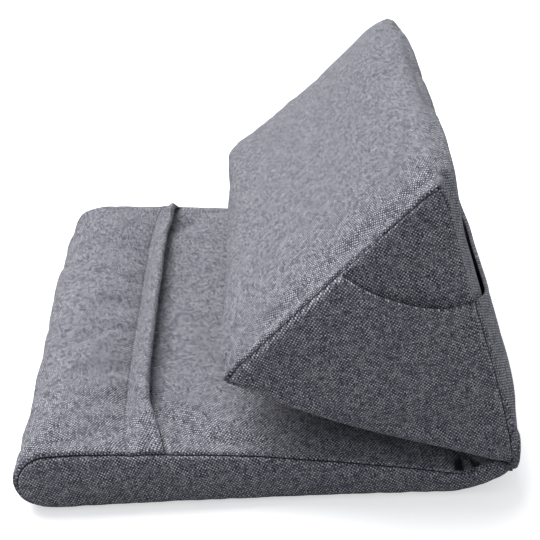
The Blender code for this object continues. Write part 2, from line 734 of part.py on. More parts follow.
def build_puller(place, parts, cutters, metal):
    """A flat tab, a narrower neck and an eye that turns on the slider's pin."""
    bore_radius = PIN_RADIUS + SLIDER_CLEARANCE
    neck_start = bore_radius + PULLER_THICKNESS / 4
    tab_start = EYE_RADIUS * 2 + PULLER_THICKNESS / 2
    tab_size = (PULLER_LENGTH - tab_start, PULLER_WIDTH, PULLER_THICKNESS)
    tab_place = (-(PULLER_LENGTH + tab_start) / 2, 0.0, 0.0)
    puller = box_object("zip_puller", tab_size, tab_place, metal, parts)
    neck_end = tab_start + PULLER_THICKNESS
    neck_width = PULLER_EYE_WIDTH - SLIDER_CLEARANCE
    neck_size = (neck_end - neck_start, neck_width, PULLER_THICKNESS - SLIDER_CLEARANCE)
    neck_place = (-(neck_end + neck_start) / 2, 0.0, 0.0)
    neck = box_object("puller_neck", neck_size, neck_place, metal, cutters)
    centre = (0.0, 0.0, 0.0)
    eye = cylinder_object("puller_eye", EYE_RADIUS, PULLER_EYE_WIDTH, centre, metal, cutters)
    bore = cylinder_object("puller_bore", bore_radius, PULLER_WIDTH, centre, metal, cutters)
    pieces = [puller]
    for other, operation in ((neck, "UNION"), (eye, "UNION"), (bore, "DIFFERENCE")):
        pieces.append(combine(puller, other, operation, cutters))
    for piece in pieces:
        piece.matrix_world = place


def main():
    clear_scene()
    parts = new_collection("tablet_cushion")
    cutters = new_collection("tablet_cushion_cutters")
    cloth = new_material("heather_cloth", (0.190, 0.190, 0.213), 0.90)
    foam = new_material("foam", (0.72, 0.70, 0.62), 0.95)
    tape = new_material("seam_tape", (0.06, 0.065, 0.08), 0.88)
    coil = new_material("zip_coil", (0.05, 0.055, 0.07), 0.45)
    metal = new_material("zip_metal", (0.30, 0.31, 0.33), 0.32, 1.0)
    hinge_room = hinge_room_cutter(foam, cutters)
    build_base(parts, cutters, hinge_room, cloth, foam, tape)
    tape_rows = build_wedge(parts, hinge_room, cloth, foam, tape)
    build_zip(tape_rows, parts, cutters, coil, metal)


main()
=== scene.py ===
"""Tablet cushion: a flat base pillow with a sewn lip, and a wedge pillow with three pockets.

X runs across the cushion, Y from its nose to the hinge seam, Z up from what it lies on.
"""

import json
import math

import bmesh
import bpy
import numpy as np
from bpy.props import FloatProperty, FloatVectorProperty, IntProperty, PointerProperty
from mathutils import Euler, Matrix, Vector, noise
from mathutils.bvhtree import BVHTree
from mathutils.kdtree import KDTree


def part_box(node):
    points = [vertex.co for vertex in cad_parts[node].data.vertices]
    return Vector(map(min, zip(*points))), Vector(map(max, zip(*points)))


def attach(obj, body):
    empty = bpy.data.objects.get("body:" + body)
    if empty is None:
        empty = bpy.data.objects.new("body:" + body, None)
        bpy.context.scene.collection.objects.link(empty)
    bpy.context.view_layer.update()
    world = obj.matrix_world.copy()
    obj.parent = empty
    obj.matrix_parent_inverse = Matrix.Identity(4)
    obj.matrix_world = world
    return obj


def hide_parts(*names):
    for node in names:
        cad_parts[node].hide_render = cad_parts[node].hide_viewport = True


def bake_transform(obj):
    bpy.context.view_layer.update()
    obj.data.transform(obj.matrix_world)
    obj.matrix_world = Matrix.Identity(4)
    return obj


bl_info = {
    "name": "Tablet Cushion",
    "version": (1, 0, 0),
    "blender": (4, 5, 0),
    "location": "3D Viewport > Sidebar > Cushion",
    "description": "Dresses a jointed tablet cushion in sewn cloth",
    "category": "Add Mesh",
}

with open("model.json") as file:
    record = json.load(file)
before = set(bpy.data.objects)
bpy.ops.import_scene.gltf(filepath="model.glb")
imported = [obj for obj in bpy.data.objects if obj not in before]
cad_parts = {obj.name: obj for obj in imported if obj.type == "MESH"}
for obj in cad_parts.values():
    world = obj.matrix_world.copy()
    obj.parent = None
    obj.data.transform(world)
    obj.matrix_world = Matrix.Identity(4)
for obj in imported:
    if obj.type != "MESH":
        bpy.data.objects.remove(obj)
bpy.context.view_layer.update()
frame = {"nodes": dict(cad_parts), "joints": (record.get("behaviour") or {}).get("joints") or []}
JOINTS = {joint["name"]: joint for joint in frame["joints"]}

# The way up, the hinge line, the nose and the side seams, and the cloth's thickness
UP = np.array([0.0, 0.0, 1.0])
HINGE = np.array(JOINTS["wedge_hinge"]["pos_m"][1:])
NOSE_Y = -HINGE[0]
CLOTH = 0.0012
SEAM_GAP = 0.0006
CUSHION_WIDTH = 2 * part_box("wedge_wrap_panel")[1].x + SEAM_GAP
HALF_WIDTH = CUSHION_WIDTH / 2 + CLOTH / 2

# Base pillow, its outline seen from the side
NOSE_HEIGHT = 0.0160
SHOULDER_SETBACK = 0.0150
SHOULDER_HEIGHT = 0.0300
TOE_SETBACK = 0.0190
NOSE_STEPS = 39
SOLE_HEIGHT = 0.0030
STITCH_SETBACK = 0.0545
STITCH_REACH = 0.014
WAIST_SETBACK = 0.0260
WAIST_HEIGHT = 0.0108
HEEL_SETBACK = 0.0340
TAPER_POWER = 1.75
BASE_TAIL_RUN = 0.0018
BASE_TAIL_ANGLE = math.radians(206)

# Base pillow, how it fills out
SIDE_DRAW = 0.0024
NOSE_CROWN = 0.0046
FRONT_CROWN = 0.0050
CHANNEL_CROWN = 0.0016
CHANNEL_WIDTH = 0.0028
BASE_TOP_CROWN = 0.0032
GUSSET_PUFF = 0.0030
STITCH_BOW = 0.0058
REAR_PUFF = 0.0034
REAR_PUFF_WIDTH = 0.0240
REAR_PUFF_START = 0.0250
REAR_PUFF_RISE = 0.0110
REAR_PUFF_FALL = 0.0090
FAR_NOSE_RUN = 0.0055

# Unevenness of the cloth, each (height, pitch, seed)
EDGE_WAVES = ((0.00055, 0.019, 21.5), (0.00033, 0.0085, 33.5))
BASE_WAVES = ((0.00090, (0.017, 0.046, 0.046), 3.1), (0.00045, (0.013, 0.024, 0.024), 7.7))
WEDGE_WAVES = ((0.00050, 0.030, 11.3),)
SIDE_POCKET_WAVE = (0.0009, (1.0, 0.034, 0.022), 2.2)
BACK_POCKET_WAVE = (0.0008, (0.045, 1.0, 0.030), 4.4)

# Small folds beside the hinge, each (place, slant, depth)
TUCKS = ((0.0928, 0.10, 0.0036), (0.1022, -0.15, 0.0030))
TUCK_WIDTH = 0.0027
TUCK_LENGTH = 0.030
# Strength of the painted shade in the folds' deepest parts
TUCK_SHADE = 0.90

# Sewn seam: its crease, the rolls beside it and their puckers
SEAM_WIDTH = 0.0008
SEAM_SHADE_WIDTH = 0.0012
SEAM_ROLL_PLACE = 0.0024
SEAM_ROLL_WIDTH = 0.0013
SEAM_ROLL_SHARE = 0.22
PUCKER_GAIN = 2.4
PUCKER_REACH = 0.024
PUCKER_FADE = 0.0065
PUCKER_PITCH = 0.0052
PUCKER_DEPTH_PITCH = 0.011
PUCKER_CHANGE_PITCH = 0.021

# Simulated cloth: places this near a seam are sewn, or held back; the rest is nearly free
SEWN_REACH, SEWN_WEIGHT = 0.0005, 1.0
STAY_REACH, STAY_WEIGHT = 0.004, 0.25
FREE_WEIGHT = 0.03
HINGE_HOLD_START, HINGE_HOLD_RUN = 0.004, 0.040
UNDERSIDE_FREEDOM = 0.4

# How far from a seam the filled cloth's move fades in, and stays calm
HELD_REACH = 0.016
CALM_REACH = 0.020

# Lip
LIP_DEPTH = 0.0118
LIP_RISE = 0.0080
LIP_THICKNESS = 0.0040
LIP_END_RUN = 0.0060
LIP_END_SHARE = 0.72
LIP_FAR_END_SHARE = 0.88
LIP_BEND_SHARE = 0.88
# Strength of the painted shade along the lip's lower edge towards its ends
LIP_END_SHADE = 0.95
LIP_END_THINNING = 0.62
LIP_FAR_DROOP = 0.32
LIP_WOBBLE = 0.0005
LIP_ROOT_TUCK = 0.0004
LIP_FLAT_STEPS, LIP_BEND_STEPS = 14, 7
LIP_STITCH_SETBACK = 0.0013
LIP_STITCH_MARGIN = 0.006
LIP_STITCH_LIFT = 0.00002
ABOVE_LIP = 0.03

# Wedge pillow, measured from the hinge line
WEDGE_REACH = 0.1365
WEDGE_FRONT_HEIGHT = 0.0548
WEDGE_TAIL_RUN = 0.0032
RIDGE_SETBACK = 0.0381
RIDGE_HEIGHT = 0.1466
UNDERSIDE_BOW, UNDERSIDE_BOW_SKEW = 0.0055, 1.3
BACK_BOW, BACK_BOW_SKEW = 0.0020, 2.0
UNDERSIDE_CROWN = -0.0012
CORNER_CROWN = 0.0056
FACE_CROWN = 0.0040
BROW_CROWN = 0.0056
RIDGE_CROWN = 0.0072
BACK_CROWN = 0.0028
TAIL_CROWN = 1.7 * BACK_CROWN
SIDE_PUFF = 0.0022

# The wedge's swell along its outline from tail to tail, with a corner from 1.0 to 1.1 and from 2.1
# to 2.2, and how soon the cloth has risen beside a side seam; each is (place, value)
WEDGE_CROWNS = (
    (0.0, 0.0), (0.15, UNDERSIDE_CROWN), (0.85, UNDERSIDE_CROWN), (1.0, CORNER_CROWN),
    (1.1, CORNER_CROWN), (1.35, FACE_CROWN), (1.60, FACE_CROWN), (1.85, BROW_CROWN),
    (2.1, RIDGE_CROWN), (2.2, RIDGE_CROWN), (2.5, BACK_CROWN), (2.88, BACK_CROWN),
    (3.03, TAIL_CROWN), (3.12, TAIL_CROWN), (3.18, BACK_CROWN), (3.2, 0.0),
)
WEDGE_SHARPNESS = (
    (0.0, 0.6), (0.88, 0.6), (1.0, 0.33), (1.1, 0.33), (1.30, 0.6), (1.85, 0.6), (2.1, 0.50),
    (2.2, 0.55), (2.5, 1.0), (2.88, 0.9), (3.03, 0.42), (3.18, 0.40),
)

# The far end of the ridge, which droops; the moves of its corner are (reach, move)
SAG_START = 0.045
SAG_RUN = 0.110
SAG_FOOT = 0.030
SAG = np.array([0.0066, 0.0024, -0.0062])
CORNER_MOVES = (
    (0.016, np.array([0.0010, -0.0010, 0.0014])), (0.0075, np.array([0.0012, 0.0, -0.0042])),
)

# Zip in the wedge's underside
ZIP_SETBACK = 0.0203
ZIP_TAPE_WIDTH = 0.0066
ZIP_LENGTH = 0.2420
COIL_LENGTH = 0.2300
COIL_PITCH = 0.00095
COIL_HEIGHT = 0.0008
TOOTH_LENGTH = 0.0031
TOOTH_WIDTH = 0.00085
TOOTH_STAGGER = 0.0008
ZIP_FOLD_OFFSET = 0.0008
ZIP_FOLD_HEIGHT, ZIP_FOLD_WIDTH = 0.0005, 0.0011
ZIP_TROUGH_DEPTH, ZIP_TROUGH_EDGE = 0.0008, 0.0010
ZIP_SEAM_DEPTH, ZIP_SEAM_WIDTH = 0.0009, 0.0009
ZIP_END_RUN = 0.0025

# Pockets, as shares of the wedge's side and back
SIDE_HEM_FRONT_SHARE = 0.55
SIDE_HEM_REAR_SHARE = 0.60
SIDE_HEM_SAG_SHARE = 0.025
BACK_HEM_SHARE = 0.60
BACK_HEM_DROOP_SHARE = 0.12

# Pockets, their cloth
POCKET_HEIGHT = 0.085
SIDE_POCKET_RUN = 0.130
HEM_DEPTH = 0.0085
POCKET_GAP = 0.0002
POCKET_LIFT = 0.0005
POCKET_THICKNESS = 0.0008
POCKET_SEAM_DEPTH = 0.0007
POCKET_FREE_RUN = 0.005
POCKET_EASE, POCKET_EASE_RUN = 0.0005, 0.03
HEM_ROLL, HEM_ROLL_WIDTH = 0.0006, 0.0040
HEM_GROOVE, HEM_GROOVE_WIDTH = 0.0004, 0.0012

# Roll along the hinge, as (y, z) corners round the hinge line
HINGE_ROLL = np.array([
    (-0.0098, -0.0048), (-0.0050, -0.0038), (-0.0014, -0.0033), (0.0008, -0.0022), (0.0020, 0.0006),
    (0.0029, 0.0052), (0.0027, 0.0125), (-0.0016, 0.0084), (-0.0028, 0.0044), (-0.0032, 0.0008),
    (-0.0050, -0.0016), (-0.0088, -0.0034),
])
HINGE_ROLL_TAPER = 0.0110
HINGE_ROLL_END_SIZE = 0.34

# Thread and how far it stands off the cloth
STITCH_PITCH = 0.0031
STITCH_LENGTH = 0.0025
THREAD_WIDTH = 0.00042
THREAD_LIFT = 0.00006

# Steps between rows and columns (fine, coarse, growth) of a piece's form and of its simulated cloth
ROW_STEPS = {"form": (0.0011, 0.0026, 0.10), "cloth": (0.0036, 0.0052, 0.10)}
COLUMN_STEPS = {"form": (0.0009, 0.0034, 0.09), "cloth": (0.0036, 0.0056, 0.10)}

# Photograph's viewpoint
CAMERA_PLACE = (0.7335, 0.0089, 0.3951)
CAMERA_TURN = (64.927, 2.298, 89.271)
CAMERA_LENS = 94.38

# Studio floor and light
FLOOR_REACH = 4.0
FLOOR_GLOW = 0.56
UNSEEN_FLOOR = (0.30, 0.30, 0.30)
SKY_COLOUR = (0.415, 0.425, 0.455)

# Cloth: its two yarns, how they lie, and the painted shade in the crease of a seam
WARP_TONE = 0.20
WEFT_TONE = 0.84
GRAIN_ANGLE = math.radians(-13)
SLUB_LENGTH = 0.0045
YARN_STRAY = 0.8
CREASE_START, CREASE_END = 0.50, 0.88
CREASE_SHADE_COLOUR = (0.013, 0.013, 0.018)


def lengths(line):
    """Distance along a line of points at each of them."""
    return np.concatenate([[0.0], np.cumsum(np.linalg.norm(np.diff(line, axis=0), axis=1))])


def along(line, distances):
    """Points of a line at distances along it."""
    run = lengths(line)
    return np.stack([np.interp(distances, run, column) for column in line.T], axis=1)


def smooth(share):
    """An even rise from 0 to 1, level at both ends."""
    share = np.clip(share, 0.0, 1.0)
    return share * share * (3.0 - 2.0 * share)


def hump(share):
    """A swell over a run, 0 at both ends and 1 in the middle."""
    return 4.0 * share * (1.0 - share)


def fullness(across, sharpness=0.6):
    """How far a padded surface has risen at a share of the half width, 0 at the side seam."""
    return (1.0 - np.minimum(np.abs(across), 1.0) ** 4) ** sharpness


def graded(length, fine, coarse, growth, count=None):
    """Distances from 0 to length, fine at both ends and coarser towards the middle."""
    spot = np.linspace(0.0, length, 4001)
    step = np.minimum(coarse, fine + growth * np.minimum(spot, length - spot))
    density = np.concatenate([[0.0], np.cumsum((1 / step[1:] + 1 / step[:-1]) / 2 * np.diff(spot))])
    count = count or int(round(density[-1]))
    return np.interp(np.linspace(0.0, density[-1], count + 1), density, spot)


def line_normals(line):
    """Unit normals to the left of a line of (y, z) points."""
    run = np.gradient(line, axis=0)
    run /= np.linalg.norm(run, axis=1)[:, None]
    return np.stack([-run[:, 1], run[:, 0]], axis=1)


def polar(radius, angle):
    """The point at a radius and an angle."""
    return np.array([radius * math.cos(angle), radius * math.sin(angle)])


def eased(places, stops):
    """A value that eases from stop to stop; each stop is (place, value)."""
    result = np.full(len(places), float(stops[0][1]))
    for (start, before), (end, after) in zip(stops, stops[1:]):
        inside = places >= start
        share = smooth((places - start) / max(end - start, 1e-9))
        result[inside] = (before + (after - before) * share)[inside]
    return result


def cubic(values, old, new):
    """Values known at old places along the first axis, read smoothly at new places."""
    slopes = np.gradient(values, old, axis=0)
    k = np.clip(np.searchsorted(old, new, side="right") - 1, 0, len(old) - 2)
    shape = (-1,) + (1,) * (values.ndim - 1)
    step = (old[k + 1] - old[k]).reshape(shape)
    t = (new - old[k]).reshape(shape) / step
    before, after = values[k], values[k + 1]
    bend = slopes[k] * (t - 2 * t**2 + t**3) + slopes[k + 1] * (t**3 - t**2)
    return before + (after - before) * (3 * t**2 - 2 * t**3) + step * bend


class Grid:
    """A sheet of points in rows and columns, with the places of both and its pattern map."""

    def __init__(self, points, rows, columns, pattern):
        self.points, self.rows, self.columns, self.pattern = points, rows, columns, pattern

    def read(self, values, rows, columns):
        """Values known on this grid, read at other rows and columns."""
        by_row = cubic(values, self.rows, rows)
        return cubic(by_row.swapaxes(0, 1), self.columns, columns).swapaxes(0, 1)

    def mirrored(self):
        """The same sheet on the other side of the cushion."""
        flip = np.array([-1.0, 1.0, 1.0])
        turn = np.array([-1.0, 1.0])
        return Grid(self.points * flip, self.rows, self.columns, self.pattern * turn)


def joined(grids):
    """The points of all grids with shared ones merged, and each grid point's place among them."""
    every = np.concatenate([grid.points.reshape(-1, 3) for grid in grids])
    keys = np.round(every / 2e-6).astype(np.int64)
    _, first, place = np.unique(keys, axis=0, return_index=True, return_inverse=True)
    return every[first], place.ravel()


def numbered(grids):
    """The places of each grid's points among those of all grids, in rows and columns."""
    ends = np.cumsum([0] + [grid.points[..., 0].size for grid in grids])
    return [np.arange(start, end).reshape(grid.points.shape[:2])
            for grid, start, end in zip(grids, ends, ends[1:])]


def grid_faces(grids, place):
    """Quads of all grids as places of their corners before and after merging."""
    loose = np.concatenate([
        np.stack([
            spot[:-1, :-1], spot[:-1, 1:], spot[1:, 1:], spot[1:, :-1],
        ], axis=2).reshape(-1, 4)
        for spot in numbered(grids)
    ])
    return loose, place[loose]


def averaged(values, place, count):
    """Values per grid point averaged where grid points were merged."""
    total = np.zeros((count,) + values.shape[1:])
    np.add.at(total, place, values)
    times = np.bincount(place, minlength=count).astype(float)
    return total / times.reshape((-1,) + (1,) * (values.ndim - 1))


def outward_normals(points, faces):
    """Unit normals at the points of a closed quad mesh, pointing out of it."""
    a, b, c, d = (points[faces[:, k]] for k in range(4))
    volume = np.einsum("ij,ij->", a, np.cross(b, c)) + np.einsum("ij,ij->", a, np.cross(c, d))
    normals = np.zeros_like(points)
    for corner in range(4):
        np.add.at(normals, faces[:, corner], np.cross(c - a, d - b))
    return normals * (np.sign(volume) / np.maximum(np.linalg.norm(normals, axis=1), 1e-12))[:, None]


def closed_mesh(name, points, grids, place, material, shade=None):
    """A smooth mesh over the merged points, with each grid's pattern map and the seams' shade."""
    loose, merged = grid_faces(grids, place)
    pattern = np.concatenate([grid.pattern.reshape(-1, 2) for grid in grids])
    faces, loops = [], []
    for corners, spots in zip(merged.tolist(), loose.tolist()):
        kept = [k for k in range(4) if corners[k] != corners[k - 1]]
        if len(kept) > 2 and len({corners[k] for k in kept}) == len(kept):
            faces.append([corners[k] for k in kept])
            loops.extend(spots[k] for k in kept)
    data = bpy.data.meshes.new(name)
    data.from_pydata(points.tolist(), [], faces)
    layer = data.uv_layers.new(name="pattern")
    layer.data.foreach_set("uv", pattern[loops].astype(np.float32).ravel())
    if shade is not None:
        marks = data.attributes.new("painted_shade", "FLOAT", "POINT")
        marks.data.foreach_set("value", shade.astype(np.float32))
    data.materials.append(material)
    return finished(name, data)


def finished(name, data):
    """A new object at the origin with outward faces, shaded smooth."""
    mesh = bmesh.new()
    mesh.from_mesh(data)
    bmesh.ops.recalc_face_normals(mesh, faces=mesh.faces)
    mesh.to_mesh(data)
    mesh.free()
    data.shade_smooth()
    made = bpy.data.objects.new(name, data)
    bpy.context.scene.collection.objects.link(made)
    return made


def waves(points, pitch, seed):
    """Smooth unevenness between about -1 and 1; pitch is a length or one for each axis."""
    spots = (points / np.asarray(pitch) + seed).reshape(-1, 3)
    return np.array([noise.noise(Vector(spot)) for spot in spots]).reshape(points.shape[:-1])


def uneven(points, swells):
    """The sum of smooth swells, each given as (height, pitch, seed)."""
    return sum(height * waves(points, pitch, seed) for height, pitch, seed in swells)


def bell(distance, width):
    """1 at no distance, falling to 0 over a few widths."""
    return np.exp(-((distance / width) ** 2))


def pattern_map(columns, rows):
    """Distances across and along the cloth; rows may have their own distance in each column."""
    rows = rows if rows.ndim == 2 else rows[:, None]
    return np.stack(np.broadcast_arrays(columns[None, :], rows), axis=2)


def strip(near, far, pattern=None):
    """A narrow grid between two lines of points."""
    points = np.stack([near, (near + far) / 2, far])
    pattern = points[..., 1:].copy() if pattern is None else np.stack([pattern] * 3)
    return Grid(points, np.arange(3.0), np.arange(float(len(near))), pattern)


class SeamMap:
    """How far each point lies from the nearest seam, and how far along that seam."""

    def __init__(self, seams, points):
        dense = [along(seam, np.arange(0.0, lengths(seam)[-1], 0.001)) for seam in seams]
        runs, offset = [], 0.0
        for seam in dense:
            runs.append(lengths(seam) + offset)
            offset = runs[-1][-1] + 1.0
        spots, run = np.concatenate(dense), np.concatenate(runs)
        tangents = np.concatenate([np.gradient(seam, axis=0) for seam in dense])
        tangents /= np.maximum(np.linalg.norm(tangents, axis=1), 1e-9)[:, None]
        tree = KDTree(len(spots))
        for i, spot in enumerate(spots):
            tree.insert(spot, i)
        tree.balance()
        found = [tree.find(point)[1:] for point in points]
        nearest = np.array([hit[0] for hit in found])
        self.distance = np.array([hit[1] for hit in found])
        ahead = np.einsum("ij,ij->i", points - spots[nearest], tangents[nearest])
        self.run = run[nearest] + ahead
        self.distance = np.sqrt(np.maximum(self.distance**2 - ahead**2, 0.0))


def painted_shade(seam):
    """How strong the painted shade is: 1 in the crease of a seam, falling to 0 just beside it."""
    return np.clip(1.0 - seam.distance / SEAM_SHADE_WIDTH, 0.0, 1.0)


def seam_relief(seam, depth, pucker):
    """Height of the cloth beside a sewn seam: a crease, its rolled edges and short puckers."""
    distance = seam.distance
    crease = -depth * bell(distance, SEAM_WIDTH)
    roll = depth * SEAM_ROLL_SHARE * bell(distance - SEAM_ROLL_PLACE, SEAM_ROLL_WIDTH)
    spots = (seam.run / PUCKER_PITCH, distance / PUCKER_DEPTH_PITCH, seam.run / PUCKER_CHANGE_PITCH)
    spots = np.stack(spots, axis=1)
    near = distance < PUCKER_REACH
    short = np.zeros(len(distance))
    short[near] = waves(spots[near], 1.0, 0.0)
    fade = np.exp(-distance / PUCKER_FADE) * (1.0 - bell(distance, SEAM_SHADE_WIDTH))
    return crease + roll + pucker * PUCKER_GAIN * short * fade


def inflated(name, points, faces, held, sizes):
    """How far each point moves when the closed cloth is blown up gently between its seams."""
    data = bpy.data.meshes.new(name)
    polygons = [[c for k, c in enumerate(face) if c != face[k - 1]] for face in faces.tolist()]
    data.from_pydata(points.tolist(), [], [face for face in polygons if len(face) > 2])
    made = finished(name, data)
    group = made.vertex_groups.new(name="held")
    for weight in np.unique(held):
        group.add(np.nonzero(held == weight)[0].tolist(), float(weight), "REPLACE")
    modifier = made.modifiers.new("cloth", "CLOTH")
    cloth = modifier.settings
    cloth.quality = 5
    cloth.mass = 0.3
    cloth.tension_stiffness = cloth.compression_stiffness = 14.0
    cloth.shear_stiffness = 6.0
    cloth.bending_stiffness = sizes.cloth_stiffness
    cloth.air_damping = 2.0
    cloth.shrink_min = -sizes.cloth_ease
    cloth.use_pressure = True
    cloth.uniform_pressure_force = sizes.cloth_pressure
    cloth.vertex_group_mass = "held"
    cloth.pin_stiffness = 1.0
    cloth.effector_weights.gravity = 0.0
    modifier.collision_settings.use_collision = False
    modifier.collision_settings.use_self_collision = False
    scene = bpy.context.scene
    modifier.point_cache.frame_start = 1
    modifier.point_cache.frame_end = sizes.cloth_frames
    for step in range(1, sizes.cloth_frames + 1):
        scene.frame_set(step)
    shape = made.evaluated_get(bpy.context.evaluated_depsgraph_get()).to_mesh()
    after = np.zeros(len(points) * 3, np.float32)
    shape.vertices.foreach_get("co", after)
    bpy.data.objects.remove(made, do_unlink=True)
    bpy.data.meshes.remove(data)
    scene.frame_set(1)
    move = after.reshape(-1, 3).astype(float) - points
    far = np.linalg.norm(move, axis=1)
    kept = sizes.cloth_reach * np.tanh(far / sizes.cloth_reach)
    return move * (kept / np.maximum(far, 1e-9))[:, None]


def filled_out(name, fine, coarse, seams, sizes):
    """The fine grids' merged points and their places, and their moves in the inflated cloth."""
    points, place = joined(fine)
    spots, spot = joined(coarse)
    distance = SeamMap(seams, spots).distance
    held = np.where(distance < STAY_REACH, STAY_WEIGHT, FREE_WEIGHT)
    held = np.where(distance < SEWN_REACH, SEWN_WEIGHT, held)
    move = inflated(name, spots, grid_faces(coarse, spot)[1], held, sizes)[spot]
    moves = [
        rough.read(move[index], grid.rows, grid.columns).reshape(-1, 3)
        for rough, grid, index in zip(coarse, fine, numbered(coarse))
    ]
    return points, place, averaged(np.concatenate(moves), place, len(points))


def off_hinge(points):
    """0 where the cloth is sewn in at the hinge, rising to 1 away from it."""
    away = np.linalg.norm(points[:, 1:] - HINGE, axis=1)
    return smooth((away - HINGE_HOLD_START) / HINGE_HOLD_RUN)


def base_lines():
    """The base's outline as the cloth's outer face: top and sole, each from nose to tail."""
    shoulder_y, toe_y = NOSE_Y + SHOULDER_SETBACK, NOSE_Y + TOE_SETBACK
    waist_y, heel_y = HINGE[0] - WAIST_SETBACK, HINGE[0] - HEEL_SETBACK
    tail = HINGE + polar(BASE_TAIL_RUN, BASE_TAIL_ANGLE)
    turn = np.linspace(0.0, math.pi / 2, NOSE_STEPS + 1)
    share = np.linspace(0.0, 1.0, 120)[1:]
    drop = (SHOULDER_HEIGHT - WAIST_HEIGHT) * share**TAPER_POWER
    slope = np.stack([shoulder_y + (waist_y - shoulder_y) * share, SHOULDER_HEIGHT - drop], axis=1)
    flat = np.stack([toe_y + (heel_y - toe_y) * share, np.full(len(share), SOLE_HEIGHT)], axis=1)
    lines = []
    for start_y, setback, rise, middle, side in (
        (shoulder_y, SHOULDER_SETBACK, SHOULDER_HEIGHT - NOSE_HEIGHT, slope, 1.0),
        (toe_y, TOE_SETBACK, SOLE_HEIGHT - NOSE_HEIGHT, flat, -1.0),
    ):
        nose = [start_y - setback * np.cos(turn), NOSE_HEIGHT + rise * np.sin(turn)]
        nose = np.stack(nose, axis=1)
        heel = middle[-1] + (tail - middle[-1]) * np.stack([share, share**2], axis=1)
        line = np.concatenate([nose, middle, heel])
        run = lengths(line)
        skin = CLOTH * smooth((run[-1] - run) / 0.006)
        lines.append(line + line_normals(line) * (side * skin)[:, None])
    return lines


def drawn_seam(line, half, draw):
    """A side seam along an outline, drawn in between its two ends."""
    run = lengths(line)
    inset = draw * hump(run / run[-1])
    return np.column_stack([half - inset, line])


def lofted(seam, normals, crowns, bows, columns, sharpness):
    """Points whose rows follow the seam and whose columns cross the pillow and swell."""
    across = columns / CUSHION_WIDTH * 2 - 1
    rise = fullness(across, sharpness[:, None])
    x = seam[:, 0:1] * across
    y = seam[:, 1:2] + (normals[:, 0:1] * crowns[:, None] - bows[:, None]) * rise
    z = seam[:, 2:3] + normals[:, 1:2] * crowns[:, None] * rise
    return np.stack([x, y, z], axis=2)


def base_grids(detail):
    """The base as grids: all round from tail to tail, and the gusset at each end."""
    top, sole = base_lines()
    steps = ROW_STEPS[detail]
    rows = graded(lengths(top)[-1], *steps)
    sole_rows = graded(lengths(sole)[-1], *steps, count=len(rows) - 1)
    stitch = lengths(top)[np.argmin(np.abs(top[:, 0] - (NOSE_Y + STITCH_SETBACK)))]
    rows = pulled_to(rows, stitch, STITCH_REACH, 0.35 if detail == "form" else 1.0)
    top_seam, sole_seam = (
        along(drawn_seam(line, HALF_WIDTH, SIDE_DRAW), places)
        for line, places in ((top, rows), (sole, sole_rows))
    )
    top_seam[:, 0] = sole_seam[:, 0] = (top_seam[:, 0] + sole_seam[:, 0]) / 2
    height = SHOULDER_HEIGHT - SOLE_HEIGHT
    thickness = np.minimum(np.linalg.norm(top_seam - sole_seam, axis=1) / height, 1.0)
    top_seam[:, 2] += uneven(top_seam * [0.0, 1.0, 0.0], EDGE_WAVES) * thickness
    behind = HINGE[0] - top_seam[:, 1]
    puff = REAR_PUFF * smooth((REAR_PUFF_START - behind) / REAR_PUFF_RISE)
    puff *= smooth((behind - BASE_TAIL_RUN) / REAR_PUFF_FALL)
    top_seam[:, 2] += puff
    outline = np.concatenate([along(sole, sole_rows)[::-1], along(top, rows)[1:]])
    seam = np.concatenate([sole_seam[::-1], top_seam[1:]])
    place = np.concatenate([-sole_rows[::-1], rows[1:]])
    toe, shoulder = -lengths(sole)[NOSE_STEPS], lengths(top)[NOSE_STEPS]
    heel, tail = -lengths(sole)[-1], lengths(top)[-1]
    sole_crown = SOLE_HEIGHT - CLOTH
    crowns = eased(place, [
        (heel, 0.0), (heel + HEEL_SETBACK, sole_crown), (toe, sole_crown), (0.0, NOSE_CROWN),
        (shoulder, FRONT_CROWN), (stitch - STITCH_REACH, FRONT_CROWN), (stitch, CHANNEL_CROWN),
        (stitch + 0.045, BASE_TOP_CROWN), (tail - 0.060, BASE_TOP_CROWN), (tail, 0.0),
    ])
    bows = eased(place, [(shoulder, 0.0), (stitch, STITCH_BOW), (stitch + 0.060, 0.0)])
    sharpness = eased(place, [(toe, 0.30), (0.0, 0.26), (shoulder, 0.34), (shoulder + 0.030, 0.5)])
    columns = graded(CUSHION_WIDTH, *COLUMN_STEPS[detail])
    points = lofted(seam, line_normals(outline), crowns, bows, columns, sharpness)
    inward = smooth(np.minimum(columns, CUSHION_WIDTH - columns) / REAR_PUFF_WIDTH)
    points[len(sole_rows) - 1 :, :, 2] -= puff[:, None] * inward
    wrap = Grid(points, place, columns, pattern_map(columns, place))
    ups = graded(height, *steps) / height
    rise = ups[:, None, None]
    side = sole_seam[None] * (1 - rise) + top_seam[None] * rise
    side[..., 0] += GUSSET_PUFF * thickness * hump(ups[:, None]) ** 0.6
    gusset = Grid(side, ups, rows, side[..., 1:].copy())
    return [wrap, gusset, gusset.mirrored()], stitch


def pulled_to(places, centre, reach, keep):
    """The same places drawn towards a centre, so that they lie closer together there."""
    offset = places - centre
    share = np.clip(np.abs(offset) / reach, 0.0, 1.0)
    moved = np.where(share < 1.0, offset * (keep + (1.0 - keep) * share**1.5), offset)
    result = centre + moved
    nearest = np.argmin(np.abs(result - centre))
    result[nearest] = centre
    return result


